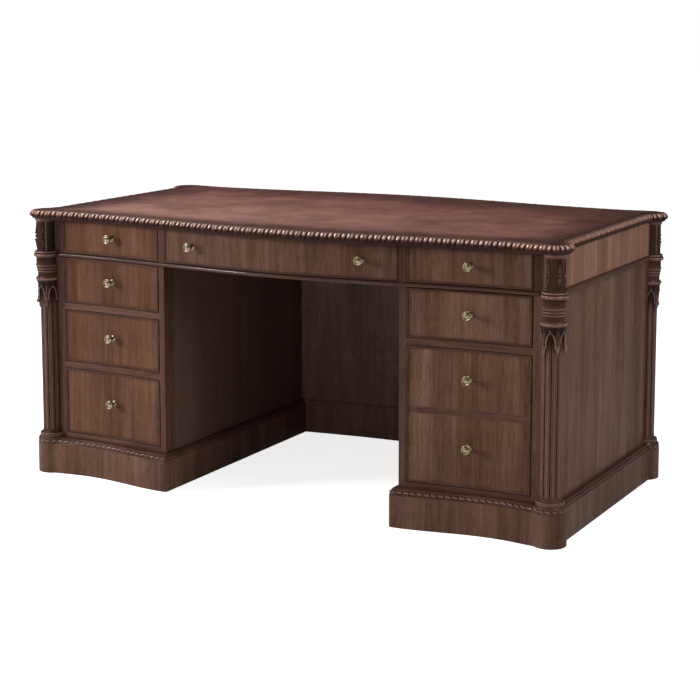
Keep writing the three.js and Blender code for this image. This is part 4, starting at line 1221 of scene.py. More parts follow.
# Profile of a column in millimetres: height, radius, step out along the corner's diagonal, and share of the reeding
COLUMN_PROFILE = (
    (106.4, 36.2, 0.0, 0.0), (107.2, 37.1, 0.0, 0.0), (109.0, 37.5, 0.0, 0.0), (113.0, 37.5, 0.0, 0.0),
    (115.4, 37.0, 0.0, 0.0), (117.0, 35.6, 0.0, 0.0), (117.8, 33.4, 0.0, 0.0), (118.0, 31.2, 0.0, 0.0),
    (119.8, 31.0, 0.0, 0.0), (120.4, 30.2, 0.0, 0.0), (122.0, 28.9, 0.0, 0.0), (125.0, 28.1, 0.0, 0.0),
    (127.0, 28.0, 0.0, 0.3), (130.0, 28.0, 0.0, 0.8), (134.0, 28.0, 0.0, 1.0), (240.0, 28.0, 0.0, 1.0),
    (360.0, 28.0, 0.0, 1.0), (470.0, 28.0, 0.0, 1.0), (500.0, 28.0, 0.4, 1.0), (530.0, 28.2, 1.6, 1.0),
    (552.0, 28.6, 2.6, 0.7), (560.0, 29.0, 3.4, 0.3), (566.5, 30.2, 4.6, 0.0), (568.2, 31.0, 5.8, 0.0),
    (569.2, 31.6, 6.2, 0.0), (571.0, 32.0, 6.3, 0.0), (574.0, 32.1, 6.3, 0.0), (577.0, 31.9, 6.3, 0.0),
    (578.8, 31.0, 6.1, 0.0), (579.8, 30.0, 5.0, 0.0), (581.4, 29.2, 4.4, 0.0), (584.0, 28.8, 4.2, 0.0),
    (593.4, 28.8, 4.4, 0.0), (594.2, 29.6, 4.8, 0.0), (596.6, 30.4, 5.0, 0.0), (598.6, 30.2, 5.0, 0.0),
    (599.4, 29.2, 5.0, 0.0), (601.4, 29.2, 5.2, 0.0), (602.2, 30.2, 5.6, 0.0), (604.6, 30.6, 6.0, 0.0),
    (606.4, 30.2, 6.2, 0.0), (607.2, 29.3, 6.2, 0.0), (609.2, 29.3, 6.6, 0.0), (610.0, 30.4, 7.0, 0.0),
    (612.6, 31.0, 7.4, 0.0), (615.4, 30.9, 7.6, 0.0), (617.2, 29.8, 7.6, 0.0), (620.0, 29.4, 7.4, 0.0),
    (636.0, 29.4, 7.4, 0.0), (637.4, 30.8, 8.0, 0.0), (638.6, 33.0, 8.8, 0.0), (640.2, 34.8, 9.0, 0.0),
    (642.6, 35.5, 9.0, 0.0), (645.2, 35.3, 9.0, 0.0), (647.2, 34.2, 9.0, 0.0), (648.3, 32.6, 9.0, 0.0),
    (649.0, 31.2, 9.0, 0.0), (650.0, 31.4, 9.0, 0.0), (651.2, 32.6, 9.0, 0.0), (652.8, 33.1, 9.0, 0.0),
    (654.4, 32.4, 9.0, 0.0), (655.4, 30.4, 9.0, 0.0), (656.4, 27.2, 9.0, 0.0), (658.4, 25.5, 9.0, 0.0),
    (739.0, 25.5, 9.0, 0.0), (740.8, 26.0, 9.0, 0.0), (741.8, 27.4, 9.0, 0.0), (743.4, 28.4, 9.0, 0.0),
    (746.4, 28.8, 9.0, 0.0), (749.7, 28.9, 9.0, 0.0),
)
# Heights between which a ring's crest gets a painted highlight, and the reeds of a shaft
RING_HIGHLIGHTS = ((110.0, 113.0), (573.5, 576.5), (643.0, 645.6), (651.8, 653.6))
COLUMN_REEDS = 7
REED_PLACES = (0.0, 0.02, 0.05, 0.085, 0.13, 0.19, 0.28, 0.39, 0.5, 0.61, 0.72, 0.81, 0.87, 0.915, 0.95, 0.98)
REED_GROOVE = 2.6
REED_GROOVE_SHARE = 0.13
REED_CROWN = 0.9

# Heights of the leaves, behind which the shaft gets a painted shade
LEAVES_FOOT = 496
LEAVES_FADE = 30
LEAVES_HEAD = 568

# The left columns are coloured darker than the right ones
COLUMN_SHADES = {"left": 0.78, "right": 1.18}


def column_ring(z, radius, step_out, reeding):
    """A ring of a column in plan, out from its axis, in millimetres, and the relief of each place.

    Its hidden quarter is a square post. The shaft behind the leaves and the reed grooves get a painted shade, and the
    reed crowns and the rings' crests are rubbed pale with a painted highlight."""
    behind = smooth((z - LEAVES_FOOT) / LEAVES_FADE) * (z < LEAVES_HEAD)
    proud = 1.0 * any(low < z < high for low, high in RING_HIGHLIGHTS)
    gap, post = SEAT_GAP / MM, POST_REACH / MM
    side_edge = SIDE_FACE_OUT / MM + gap
    shift = step_out * math.sqrt(0.5)
    start = -math.acos((side_edge - shift) / radius)
    stop = math.pi - math.asin((gap - shift) / radius)
    ring = []
    for reed in range(COLUMN_REEDS):
        for across in REED_PLACES:
            turn = start + (stop - start) * (reed + across) / COLUMN_REEDS
            groove = max(0.0, 1 - min(across, 1 - across) / REED_GROOVE_SHARE) ** 1.6
            sunk = (REED_GROOVE * groove + REED_CROWN * (2 * across - 1) ** 2) * reeding
            if reed + across == 0:
                sunk = 0.0
            # Reed crowns and ring crests rubbed pale with a painted highlight; reed grooves and the shaft behind the
            # leaves a painted shade
            relief = (0.32 * max(0.0, 1 - abs(across - 0.5) / 0.2) - 1.4 * groove) * reeding
            relief = relief * (1 - behind) - 0.95 * behind + proud
            near = radius - sunk
            ring.append((shift + near * math.cos(turn), shift + near * math.sin(turn), relief))
    ring.append((shift + radius * math.cos(stop), gap, 0.0))
    return ring + [(-post, gap, 0.0), (-post, -post, 0.0), (side_edge, -post, 0.0)]


def surface_reach(z, turn):
    """Distance from a column's axis to its surface, without the reeding, at a height and a turn in degrees."""
    heights = [row[0] for row in COLUMN_PROFILE]
    radius = float(np.interp(z, heights, [row[1] for row in COLUMN_PROFILE]))
    shift = float(np.interp(z, heights, [row[2] for row in COLUMN_PROFILE]))
    off = math.radians(turn - 45)
    return shift * math.cos(off) + math.sqrt(radius ** 2 - (shift * math.sin(off)) ** 2)


def column_finish(side):
    return carving(f"columns_{side}", COLUMN_SHADES[side])


class DESK_OT_columns(Operator):
    """Reeded corner columns with their turned capitals"""

    bl_idname = "desk.columns"
    bl_label = "Corner Columns"

    def execute(self, context):
        for end, sign_y in ENDS:
            for side, sign_x in SIDES:
                rings, relief = [], []
                for z, radius, step_out, reeding in COLUMN_PROFILE:
                    ring = column_ring(z, radius, step_out, reeding)
                    rings.append([(sign_x * (COLUMN_X + u * MM), sign_y * (COLUMN_Y + v * MM), z * MM)
                                  for u, v, _ in ring])
                    relief += [height for _, _, height in ring]
                make_piece(f"reeded_column_{end}_{side}", ring_skin(rings), column_finish(side),
                           stands_for=(f"column_{end}_{side}",), crease=50.0, marks={"relief": relief})
        return {"FINISHED"}


# Carvings on the columns

@built_once("Carvings Round Column")
def ring_tree(name):
    """Sets copies of one carving round a column's axis, a step apart, and moves them to the column."""
    tree, given, out = new_tree(name, "GeometryNodeTree", [
        ("Geometry", "NodeSocketGeometry", None),
        ("Count", "NodeSocketInt", 5),
        ("First Turn", "NodeSocketFloat", 0.0),
        ("Turn Step", "NodeSocketFloat", 0.8),
        ("Rise", "NodeSocketFloat", 0.0),
        ("Axis", "NodeSocketVector", None),
        ("Finish", "NodeSocketMaterial", None),
    ], [("Geometry", "NodeSocketGeometry")])
    points = add_node(tree, "GeometryNodePoints", {"Count": given["Count"], "Position": given["Axis"]})
    index = add_node(tree, "GeometryNodeInputIndex").outputs[0]
    turn = calc(tree, "MULTIPLY_ADD", index, given["Turn Step"], given["First Turn"])
    rotation = add_node(tree, "ShaderNodeCombineXYZ", {"Z": turn}).outputs[0]
    lift = add_node(tree, "ShaderNodeCombineXYZ", {"Z": calc(tree, "MULTIPLY", index, given["Rise"])}).outputs[0]
    raised = add_node(tree, "GeometryNodeSetPosition", {"Geometry": points.outputs[0], "Offset": lift})
    copies = add_node(tree, "GeometryNodeInstanceOnPoints", {
        "Points": raised.outputs[0], "Instance": given["Geometry"], "Rotation": rotation,
    })
    end_tree(tree, copies.outputs[0], given["Finish"], out)
    return tree


def leaf_half_width(along, lobes, tip):
    """Share of a leaf's half width along it, from its root to its tip, with scalloped lobes."""
    body = math.sin(math.pi * min(1.0, 0.18 + 0.82 * along) ** tip) ** 0.7 if along < 1 else 0.0
    scallop = 1 - 0.26 * abs(math.sin(math.pi * lobes * along)) ** 0.6 * (0.3 + 0.7 * along)
    return max(0.02, body * scallop)


def leaf_relief(along, across, lobes, curl):
    """Height share of a leaf: a raised rib, veins that run out to the lobes, hollow flanks and a curled tip."""
    side = abs(across)
    swell = math.sqrt(max(0.0, 1 - side ** 2.6))
    rib = math.exp(-((side / 0.13) ** 2))
    flank = 1 - 0.42 * math.exp(-(((side - 0.36) / 0.2) ** 2))
    vein = 0.5 + 0.5 * math.cos(2 * math.pi * (lobes * along - 0.55 * side))
    rise = 0.35 + 0.65 * smooth(along / 0.9)
    tip = curl * smooth((along - 0.72) / 0.2) * (1 - smooth((along - 0.94) / 0.08))
    return swell * (rise * (flank * (0.62 + 0.3 * vein) + 0.3 * rib) + tip)


def leaf_shape(reach, z_root, z_tip, width, height, lobes, tip, curl, steps):
    """A carved leaf on a round face at turn zero. reach gives the face's distance from the axis at a height."""
    alongs = spread(0.0, 1.0, steps[0])
    acrosses = [math.sin(a * math.pi / 2) for a in spread(-1.0, 1.0, steps[1])]

    def place(along, across, out):
        z = z_root + (z_tip - z_root) * along
        near = reach(z)
        turn = across * width / 2 * leaf_half_width(along, lobes, tip) / near
        radius = near + out
        return radius * math.cos(turn) * MM, radius * math.sin(turn) * MM, z * MM

    def face(along, across):
        return place(along, across, height * leaf_relief(along, across, lobes, curl) - 0.3)

    return grid_board(alongs, acrosses, face, lambda along, across: place(along, across, -2.2))


def dome_shape(reach, z, radius, height, petals=0, steps=(4, 10)):
    """A round boss or a rosette on a round face at turn zero. Petals scallop its rim."""
    rings = []
    rim = [(share, math.sqrt(max(0.0, 1 - share ** 2))) for share in spread(1.0, 0.0, steps[0])]
    for share, rise in [(1.0, -1.6 / height)] + rim[:-1]:
        ring = []
        for side in range(steps[1]):
            a = 2 * math.pi * side / steps[1]
            fold = abs(math.sin(petals * a / 2))
            from_middle = radius * share * (1 - 0.22 * fold)
            dent = 0.35 * math.sin(math.pi * share) * fold
            heart = 0.5 * smooth((0.3 - share) / 0.1) if petals else 0.0
            up = from_middle * math.sin(a)
            near = reach(z + up) + height * (rise * (1 - dent) * (0.75 if petals else 1.0) + heart)
            turn = from_middle * math.cos(a) / near
            ring.append((near * math.cos(turn) * MM, near * math.sin(turn) * MM, (z + up) * MM))
        rings.append(ring)
    return ring_skin(rings)


def spine_shape(points, widths, height, sides=8):
    """A tapering round stem along points, with a width in millimetres at each, and a height as a share of it."""
    rings = []
    for i, point in enumerate(points):
        ahead = Vector(points[min(i + 1, len(points) - 1)]) - Vector(points[max(i - 1, 0)])
        outward = Vector((point[0], point[1], 0.0)).normalized()
        across = ahead.cross(outward).normalized()
        outward = across.cross(ahead).normalized()
        ring = []
        for side in range(sides):
            a = 2 * math.pi * side / sides
            offset = across * math.cos(a) * widths[i] / 2 + outward * math.sin(a) * widths[i] / 2 * height
            ring.append(tuple((Vector(point) + offset) * MM))
        rings.append(ring)
    return ring_skin(rings)


def on_column(turn):
    return lambda z: surface_reach(z, turn)


def proud_point(turn, z, proud):
    """A place in millimetres that stands proud of a column's surface."""
    near = surface_reach(z, turn) + proud
    return near * math.cos(math.radians(turn)), near * math.sin(math.radians(turn)), z


def arch_shape(middle, half_turn, z_high, z_low, width):
    """A stem on a column that rises from one hanging leaf and comes down by the next, in degrees of turn."""
    points, widths = [], []
    for t in spread(0.0, 1.0, 20):
        z = z_low + (z_high - z_low) * math.sin(math.pi * t) ** 0.5
        points.append(proud_point(middle + half_turn * (2 * t - 1), z, proud=1.3))
        widths.append(width * (0.8 + 0.2 * math.cos(2 * math.pi * t)))
    return spine_shape(points, widths, height=1.1)


def hanging_leaf(turn):
    """A narrow leaf that hangs under the capital and ends in a drop of berries."""
    reach = on_column(turn)
    parts = [leaf_shape(reach, 568.0, 503.0, 17.5, 5.8, lobes=4, tip=1.1, curl=0.8, steps=(40, 16))]
    parts += [dome_shape(reach, z, radius, height, steps=(5, 12))
              for z, radius, height in ((504.5, 3.9, 5.6), (497.5, 3.3, 4.6), (491.8, 2.6, 3.6))]
    return turned(joined(*parts), turn)


def standing_bar(turn_from, turn_to, z, width):
    """A thin bar round part of the frieze block."""
    points = [proud_point(turn, z, proud=0.7) for turn in spread(turn_from, turn_to, 10)]
    return spine_shape(points, [width] * len(points), height=1.0, sides=6)


# Turns in degrees of the hanging leaves, and of the arches and small leaves between them
LEAF_TURNS = (-21, 45, 111)
ARCH_TURNS = (-54, 12, 78, 144)

# Leaves on the frieze block: turn, height of the root and of the tip, width and relief
BLOCK_LEAVES = (
    (45, 664.0, 691.0, 16.0, 4.2), (45, 739.0, 705.0, 16.0, 3.4), (90, 661.0, 692.0, 15.0, 2.7),
    (0, 661.0, 692.0, 15.0, 2.7), (88, 738.0, 701.0, 16.0, 2.7), (2, 738.0, 701.0, 16.0, 2.7),
)


def column_leaves():
    """All the leaves of a column about its axis, in metres, and the relief of each point: a painted shade low down by
    the column, rubbed pale with a painted highlight where proud.
    """
    shapes = [hanging_leaf(turn) for turn in LEAF_TURNS]
    shapes += [arch_shape(middle, half_turn=25, z_high=553.0, z_low=512.0, width=5.0) for middle in ARCH_TURNS]
    shapes += [turned(leaf_shape(on_column(turn), 568.0, 549.0, 15.0, 3.8, lobes=2, tip=1.1, curl=0.4, steps=(18, 12)),
                      turn) for turn in ARCH_TURNS]
    shapes.append(turned(dome_shape(on_column(45), 698.0, 6.8, 4.2, petals=6, steps=(8, 36)), 45))
    for turn, z_root, z_tip, width, height in BLOCK_LEAVES:
        leaf = leaf_shape(on_column(turn), z_root, z_tip, width, height, lobes=3, tip=1.2, curl=0.6, steps=(26, 14))
        shapes.append(turned(leaf, turn))
    shapes += [standing_bar(start, stop, z=697.0, width=2.4) for start, stop in ((60, 118), (-28, 30))]
    vertices, faces = joined(*shapes)
    relief = []
    for x, y, z in vertices:
        out = math.hypot(x, y) / MM - surface_reach(z / MM, math.degrees(math.atan2(y, x)))
        relief.append(min(max(out / 2.4 - 1.2, -1.0), 0.6))
    return vertices, faces, relief


def bead_rows():
    """Rows of beads: name, one bead, how many, first turn and step in degrees, rise, step out of their axis,
    and the distance from that axis below which a bead gets a painted shade and beyond which it is rubbed pale with a
    painted highlight."""
    strip = dome_shape(lambda z: 25.5, 661.0, 2.3, 2.4)
    ring = dome_shape(lambda z: 32.0, 573.9, 2.5, 2.0)
    return (
        ("front_strip", strip, 13, 131.0, 0.0, 6.4, 9.0, 25.6),
        ("side_strip", strip, 13, -41.0, 0.0, 6.4, 9.0, 25.6),
        ("astragal_beads", ring, 25, -67.2, 9.35, 0.0, 6.3, 32.4),
    )


class DESK_OT_column_carvings(Operator):
    """Leaves, rosettes and beads carved on the columns"""

    bl_idname = "desk.column_carvings"
    bl_label = "Column Carvings"

    def execute(self, context):
        vertices, faces, relief = column_leaves()
        for end, sign_y in ENDS:
            for side, sign_x in SIDES:
                moved = [(sign_x * (COLUMN_X + u), sign_y * (COLUMN_Y + v), z) for u, v, z in vertices]
                make_piece(f"column_leaves_{end}_{side}", (moved, faces), column_finish(side),
                           crease=60.0, marks={"relief": relief})
                for row in bead_rows():
                    self.beads(row, end, sign_y, side, sign_x)
        return {"FINISHED"}

    def beads(self, row, end, sign_y, side, sign_x):
        name, bead, count, first, step, rise, step_out, base = row
        shift = step_out * MM * math.sqrt(0.5)
        first_turn = math.atan2(sign_y * math.sin(math.radians(first)), sign_x * math.cos(math.radians(first)))
        piece = bare_object(f"{name}_{end}_{side}", *bead)
        mark(piece, "relief", [min(max(math.hypot(x, y) / MM - base, -1.0), 0.9) for x, y, _ in bead[0]])
        grow(piece, ring_tree(), {
            "Count": count, "First Turn": first_turn, "Turn Step": math.radians(step) * sign_x * sign_y,
            "Rise": rise * MM, "Axis": (sign_x * (COLUMN_X + shift), sign_y * (COLUMN_Y + shift), 0.0),
            "Finish": column_finish(side),
        })
        harden(piece, crease=60.0)
        settle_in(piece, "case")


# Drawers

REVEAL = 1.5 * MM
FRONT_THICKNESS = 0.020

# The cock bead round a front, with the fine groove beside it
COCK_BEAD_WIDTH = 5 * MM
COCK_BEAD_REACH = 2 * MM
COCK_BEAD_STEPS = (
    0.0, 0.0002, 0.0006, 0.0012, 0.0019, 0.0025, 0.0031, 0.0038, 0.0044, 0.0048, 0.0050, 0.0053, 0.0059, 0.0062,
)
BEAD_GROOVE_PLACE = 0.0053
BEAD_GROOVE_HALF = 0.0006
BEAD_GROOVE_DEPTH = 0.5 * MM
COCK_BEAD_ROOM = 0.008

# The soft groove that parts the file drawer's front
SPLIT_GROOVE_HALF = 0.010
SPLIT_GROOVE_DEPTH = 2 * MM
SPLIT_FINISH_HALF = 0.0095
SPLIT_REACH = 0.011
SPLIT_CLEAR = 0.0115

# Each front's shade is matched to how bright it looks under the light, so it is partly painted light and partly a real
# change of tone between veneers
FRONT_SHADES = {"left_low": 0.86, "left_middle": 0.88, "left_top": 0.88, "frieze_left": 0.98, "frieze_centre": 1.04,
                "right_file": 1.27}
OTHER_FRONT_SHADE = 1.13
FRONT_DARKENING_WIDTH = 0.014
KNOB_RADIUS = 12.5 * MM


def knob_places(key):
    """Knobs of a drawer: the end of each CAD knob's name, and its place across and up."""
    left, right, foot, head = DRAWERS[key]
    middle = (left + right) / 2
    if key == "right_file":
        split = foot + (head - foot) * SPLIT_SHARE
        return [("_low", middle, foot + (split - foot) * KNOB_SHARE),
                ("_high", middle, split + (head - split) * KNOB_SHARE)]
    height = foot + (head - foot) * KNOB_SHARE
    if key == "frieze_centre":
        return [("_left", -CENTRE_KNOB_X, height), ("_right", CENTRE_KNOB_X, height)]
    return [("", middle, height)]


def beaded_places(start, stop, longest):
    """Even places between two edges of a front, with closer ones across the cock bead at each edge."""
    return with_places([start + s for s in COCK_BEAD_STEPS], *(stop - s for s in COCK_BEAD_STEPS),
                       *(p for p in run(start, stop, longest) if min(p - start, stop - p) > COCK_BEAD_ROOM))


class DESK_OT_drawer_fronts(Operator):
    """Bowed drawer fronts, each with a cock bead round its edge"""

    bl_idname = "desk.drawer_fronts"
    bl_label = "Drawer Fronts"

    def execute(self, context):
        for number, key in enumerate(DRAWERS):
            self.front(key, number)
            refinish(f"drawer_box_{key}", drawer_wood())
        return {"FINISHED"}

    def front(self, key, number):
        left, right, foot, head = DRAWERS[key]
        x0, x1, z0, z1 = left + REVEAL, right - REVEAL, foot + REVEAL, head - REVEAL
        back = min(wave(CARCASS_LINE, x) for x in run(left, right, 0.06)) - FRONT_THICKNESS
        split = foot + (head - foot) * SPLIT_SHARE if key == "right_file" else None
        across, up = beaded_places(x0, x1, BOW_STEP), beaded_places(z0, z1, 0.03)
        if split:
            up = with_places([z for z in up if abs(z - split) > SPLIT_CLEAR],
                             *spread(split - SPLIT_REACH, split + SPLIT_REACH, 14))

        def to_edge(x, z):
            return min(x - x0, x1 - x, z - z0, z1 - z)

        def out(x, z):
            edge = to_edge(x, z)
            if edge < COCK_BEAD_WIDTH:
                return COCK_BEAD_REACH * math.sqrt(max(0.0, 1 - (2 * edge / COCK_BEAD_WIDTH - 1) ** 2))
            sunk = BEAD_GROOVE_DEPTH * max(0.0, 1 - abs(edge - BEAD_GROOVE_PLACE) / BEAD_GROOVE_HALF)
            if split and abs(z - split) < SPLIT_GROOVE_HALF:
                sunk += SPLIT_GROOVE_DEPTH * (0.5 + 0.5 * math.cos(math.pi * (z - split) / SPLIT_GROOVE_HALF))
            return -sunk

        def kind_of(centre):
            if to_edge(centre[0], centre[2]) < COCK_BEAD_WIDTH:
                return 1
            return 2 if split and abs(centre[2] - split) < SPLIT_FINISH_HALF else 0

        shape = grid_board(across, up, lambda x, z: (x, -(wave(CARCASS_LINE, x) + out(x, z)), z),
                           lambda x, z: (x, -back, z))
        middle, half = ((x0 + x1) / 2, 0.0, (z0 + z1) / 2), ((x1 - x0) / 2, 1.0, (z1 - z0) / 2)
        shade = FRONT_SHADES.get(key, OTHER_FRONT_SHADE)
        # Fronts on the left are painted warmer, a painted warm light on that side
        warm = 1.14 if key.startswith(("left", "frieze_left")) else 0.98
        # The cock bead's shade stands in part for the bright line where it catches the light: a painted highlight
        finishes = [veneer(f"front_{key}", seed=30.0 + number, shade=shade, warm=warm, stripe=1.2,
                           borders=(middle, half, FRONT_DARKENING_WIDTH)),
                    rail_wood("cock_bead", seed=29.0, shade=1.15), rail_wood("soft_groove", seed=28.0, shade=1.3)]
        make_piece(f"bowed_front_{key}", shape, finishes, body=f"drawer_{key}", stands_for=(f"drawer_front_{key}",),
                   kind_of=kind_of, crease=50.0)


# Profile of a turned knob from its plate to its face, in millimetres: radius, distance out and relief
KNOB_PROFILE = (
    (0.0, 0.0, 0.0), (9.2, 0.0, -0.5), (9.2, 0.8, 0.2), (8.8, 1.4, 0.5), (8.2, 1.6, 0.2), (7.6, 1.3, -0.8),
    (7.1, 1.6, -0.6), (6.2, 2.4, 0.0), (5.2, 3.4, -0.2), (4.4, 4.8, -0.6), (4.0, 6.6, -0.8), (4.0, 9.8, -0.8),
    (4.7, 10.6, -0.2), (5.6, 11.2, 0.4), (5.6, 12.2, 0.2), (4.8, 12.8, -0.8), (5.0, 13.8, -0.8), (6.6, 15.4, -0.6),
    (8.6, 17.2, -0.5), (10.6, 19.4, -0.3), (11.8, 21.2, 0.0), (12.3, 22.8, 0.5), (12.1, 24.2, 1.0), (11.3, 25.2, 1.0),
    (10.2, 25.5, 0.5), (9.4, 25.0, -0.1), (8.7, 24.2, -0.4), (8.0, 24.0, -0.4), (7.4, 24.3, -0.3), (6.8, 24.9, 0.0),
    (5.8, 25.6, 0.1), (4.4, 26.2, 0.0), (3.0, 26.5, -0.2), (1.4, 26.6, -0.2), (0.0, 26.6, -0.2),
)
KNOB_SIDES = 40


class DESK_OT_knobs(Operator):
    """Turned brass knobs on the drawer fronts"""

    bl_idname = "desk.knobs"
    bl_label = "Knobs"

    def execute(self, context):
        for key in DRAWERS:
            for end, x, z in knob_places(key):
                self.knob(key, end, x, z)
        return {"FINISHED"}

    def knob(self, key, end, x, z):
        rise = wave(CARCASS_LINE, x + KNOB_RADIUS) - wave(CARCASS_LINE, x - KNOB_RADIUS)
        turn = -math.atan2(rise, 2 * KNOB_RADIUS)
        seat = (x + SEAT_GAP * math.sin(turn), -(wave(CARCASS_LINE, x) + SEAT_GAP), z)
        place = Matrix.Translation(seat) @ Matrix.Rotation(turn, 4, "Z")
        rings = []
        for out, along, _ in KNOB_PROFILE:
            ring = []
            for side in range(KNOB_SIDES):
                angle = 2 * math.pi * side / KNOB_SIDES
                local = Vector((out * MM * math.cos(angle), -along * MM, out * MM * math.sin(angle)))
                ring.append(tuple(place @ local))
            rings.append(ring)
        relief = [height for _, _, height in KNOB_PROFILE for _ in range(KNOB_SIDES)]
        make_piece(f"turned_knob_{key}{end}", ring_skin(rings), brass(), body=f"drawer_{key}",
                   stands_for=(f"knob_{key}{end}",), crease=40.0, marks={"relief": relief})


# Stage

FLOOR_HALF = 30
LAMP_TARGET = Vector((0.0, 0.0, 0.45))

# Lamps: name, place, power, size, and the rays that see them
LAMPS = (
    ("key_softbox", (-4.7, -3.3, 1.9), 275.0, 1.6, "diffuse"),
    ("glint_softbox", (-2.6, -1.6, 3.4), 80.0, 0.8, "glossy"),
    ("side_glint_softbox", (2.8, -0.4, 3.2), 70.0, 0.8, "glossy"),
    ("right_softbox", (4.6, -1.2, 2.4), 66.0, 2.0, "diffuse"),
    ("top_softbox", (-2.0, 0.3, 3.3), 50.0, 1.2, "both"),
)

# Camera: place, turn from the depth axis and tilt down in radians, and its lens
CAMERA_PLACE = (2.3576, -4.4217, 1.3639)
CAMERA_YAW = 0.4878
CAMERA_PITCH = 0.1365
CAMERA_LENS = 90.005
CAMERA_SHIFT_Y = -0.15
SENSOR_WIDTH = 36.0


class DESK_OT_stage(Operator):
    """White floor, soft studio lamps and the camera"""

    bl_idname = "desk.stage"
    bl_label = "Stage"

    def execute(self, context):
        self.floor()
        self.lamps()
        self.camera()
        context.scene.view_settings.view_transform = "Standard"
        return {"FINISHED"}

    def floor(self):
        corners = [(x * FLOOR_HALF, y * FLOOR_HALF, 0) for x, y in ((-1, -1), (1, -1), (1, 1), (-1, 1))]
        floor = bare_object("studio_floor", corners, [(0, 1, 2, 3)])
        material = bpy.data.materials.new("studio_white")
        material.use_nodes = True
        tree = material.node_tree
        path = tree.nodes.new("ShaderNodeLightPath").outputs
        seen = calc(tree, "MAXIMUM", path["Is Camera Ray"], product(tree, path["Is Glossy Ray"], 0.1))
        feed(tree, tree.nodes["Principled BSDF"], {
            "Base Color": (0.9, 0.9, 0.9, 1), "Roughness": 0.9, "Emission Color": (1, 1, 1, 1),
            "Emission Strength": product(tree, seen, 0.8),
        })
        floor.data.materials.append(material)

    def lamps(self):
        world = bpy.data.worlds.new("studio")
        bpy.context.scene.world = world
        world.use_nodes = True
        tree = world.node_tree
        path = tree.nodes.new("ShaderNodeLightPath").outputs
        seen = calc(tree, "MAXIMUM", path["Is Camera Ray"], product(tree, path["Is Diffuse Ray"], 0.27))
        seen = calc(tree, "MAXIMUM", seen, product(tree, path["Is Glossy Ray"], 0.08))
        feed(tree, tree.nodes["Background"], {"Color": (1, 1, 1, 1), "Strength": seen})
        for name, where, power, size, use in LAMPS:
            data = bpy.data.lights.new(name, "AREA")
            data.energy, data.shape, data.size = power, "DISK", size
            lamp = bpy.data.objects.new(name, data)
            lamp.visible_glossy, lamp.visible_diffuse = use != "diffuse", use != "glossy"
            bpy.context.scene.collection.objects.link(lamp)
            lamp.location = where
            lamp.rotation_mode = "QUATERNION"
            lamp.rotation_quaternion = (LAMP_TARGET - Vector(where)).to_track_quat("-Z", "Y")

    def camera(self):
        data = bpy.data.cameras.new("studio_camera")
        camera = bpy.data.objects.new("studio_camera", data)
        bpy.context.scene.collection.objects.link(camera)
        data.lens, data.sensor_width, data.shift_y = CAMERA_LENS, SENSOR_WIDTH, CAMERA_SHIFT_Y
        level = math.cos(CAMERA_PITCH)
        look = Vector((-math.sin(CAMERA_YAW) * level, math.cos(CAMERA_YAW) * level, -math.sin(CAMERA_PITCH)))
        camera.location = CAMERA_PLACE
        camera.rotation_mode = "QUATERNION"
        camera.rotation_quaternion = look.to_track_quat("-Z", "Y")
        bpy.context.scene.camera = camera


# Sizes and colours that a user would change

class DeskSizes(PropertyGroup):
    lobe_repeat: FloatProperty(name="Lobe repeat", description="Length of one wide lobe and one narrow lobe",
                               default=0.0375, min=0.01, max=0.1, unit="LENGTH")
    wide_lobe: FloatProperty(name="Wide lobe", description="Share of a repeat that the wide lobe fills",
                             default=0.56, min=0.2, max=0.6, subtype="FACTOR")
    narrow_lobe: FloatProperty(name="Narrow lobe", description="Share of a repeat that the narrow lobe fills",
                               default=0.30, min=0.1, max=0.36, subtype="FACTOR")
    groove_depth: FloatProperty(name="Groove depth", description="Depth of the grooves between the lobes",
                                default=0.0057, min=0.0, max=0.0065, unit="LENGTH")


def colour_property(name, description, default):
    return FloatVectorProperty(name=name, description=description, default=default, size=3, min=0.0, max=1.0,
                               subtype="COLOR")


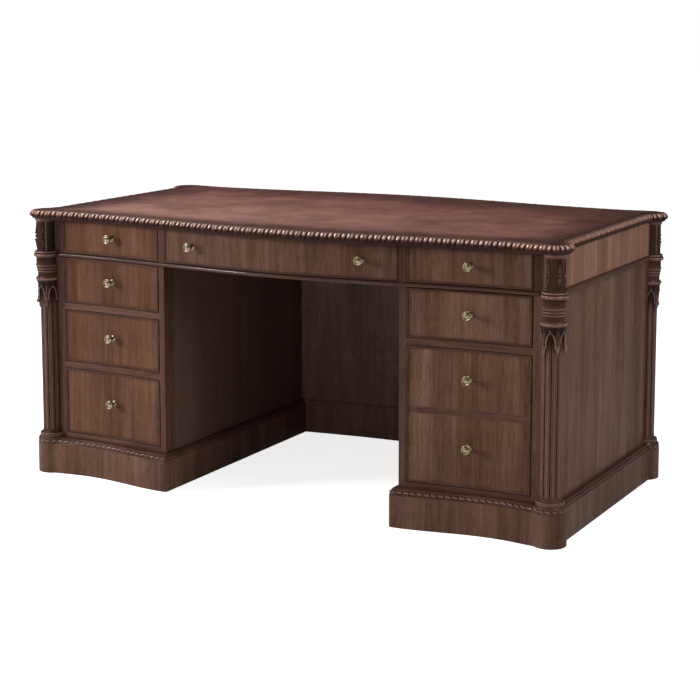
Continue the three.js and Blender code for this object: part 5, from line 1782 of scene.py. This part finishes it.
class DeskColours(PropertyGroup):
    veneer_dark: colour_property("Veneer, dark", "Dark streaks of the walnut veneer", (0.052, 0.0235, 0.0145))
    veneer_middle: colour_property("Veneer, middle", "Main colour of the walnut veneer", (0.112, 0.0545, 0.0345))
    veneer_pale: colour_property("Veneer, pale", "Pale streaks of the walnut veneer", (0.180, 0.0960, 0.0650))
    frame_dark: colour_property("Frame, dark", "Dark streaks of the rails and mouldings", (0.034, 0.0160, 0.0110))
    frame_middle: colour_property("Frame, middle", "Main colour of the rails and mouldings", (0.068, 0.0330, 0.0235))
    frame_pale: colour_property("Frame, pale", "Pale streaks of the rails and mouldings", (0.112, 0.0590, 0.0430))
    carved_dark: colour_property("Carving, dark", "Dark streaks of the carved wood", (0.034, 0.0125, 0.0085))
    carved_middle: colour_property("Carving, middle", "Main colour of the carved wood", (0.075, 0.031, 0.022))
    carved_pale: colour_property("Carving, pale", "Pale streaks of the carved wood", (0.120, 0.056, 0.041))
    # Rubbed pale crests of the carving, with a painted highlight
    carved_wear_and_highlight: colour_property("Carving, rubbed and highlight", "Proud edges of the carving, rubbed pale with a painted highlight", (0.44, 0.26, 0.205))
    # Crests of the top edge, rubbed pale and with a bright painted highlight
    edge_rubbed: colour_property("Top edge, rubbed and highlight", "Crests of the top edge, rubbed paler still, with a painted highlight", (0.66, 0.43, 0.355))
    lining_dark: colour_property("Lining, dark", "Dark streaks of the drawer linings", (0.15, 0.085, 0.045))
    lining_middle: colour_property("Lining, middle", "Main colour of the drawer linings", (0.27, 0.165, 0.09))
    lining_pale: colour_property("Lining, pale", "Pale streaks of the drawer linings", (0.38, 0.25, 0.145))
    leather_field: colour_property("Leather, field", "Middle of the leather", (0.217, 0.081, 0.065))
    leather_edge: colour_property("Leather, edge", "Burnished edge of the leather", (0.105, 0.038, 0.032))
    # Colour and place of the painted sheen on the leather
    leather_sheen: colour_property("Leather, sheen", "Paler part of the leather, a painted sheen", (0.425, 0.222, 0.177))
    sheen_place: FloatVectorProperty(name="Sheen place", description="Middle of the leather's painted sheen", size=3,
                                     default=(-0.66, -0.40, 0.775), subtype="XYZ", unit="LENGTH")
    brass_bright: colour_property("Brass, bright", "Worn brass", (0.62, 0.53, 0.35))
    brass_dull: colour_property("Brass, dull", "Tarnished brass", (0.34, 0.28, 0.155))


STEPS = (
    DESK_OT_top_boards, DESK_OT_leather, DESK_OT_carved_edge, DESK_OT_frieze, DESK_OT_pedestals, DESK_OT_modesty,
    DESK_OT_feet, DESK_OT_columns, DESK_OT_column_carvings, DESK_OT_drawer_fronts, DESK_OT_knobs, DESK_OT_stage,
)


class DESK_PT_build(Panel):
    bl_label = "Executive Desk"
    bl_idname = "DESK_PT_build"
    bl_space_type = "VIEW_3D"
    bl_region_type = "UI"
    bl_category = "Desk"

    def draw(self, context):
        for group in (context.scene.desk_sizes, context.scene.desk_colours):
            for key in group.__annotations__:
                self.layout.prop(group, key)
        for step in STEPS:
            self.layout.operator(step.bl_idname)


CLASSES = (DeskSizes, DeskColours, *STEPS, DESK_PT_build)


def register():
    for each in CLASSES:
        bpy.utils.register_class(each)
    bpy.types.Scene.desk_sizes = PointerProperty(type=DeskSizes)
    bpy.types.Scene.desk_colours = PointerProperty(type=DeskColours)


def unregister():
    del bpy.types.Scene.desk_colours
    del bpy.types.Scene.desk_sizes
    for each in reversed(CLASSES):
        bpy.utils.unregister_class(each)


def main():
    register()
    for step in STEPS:
        group, name = step.bl_idname.split(".")
        getattr(getattr(bpy.ops, group), name)()


if __name__ == "__main__":
    main()
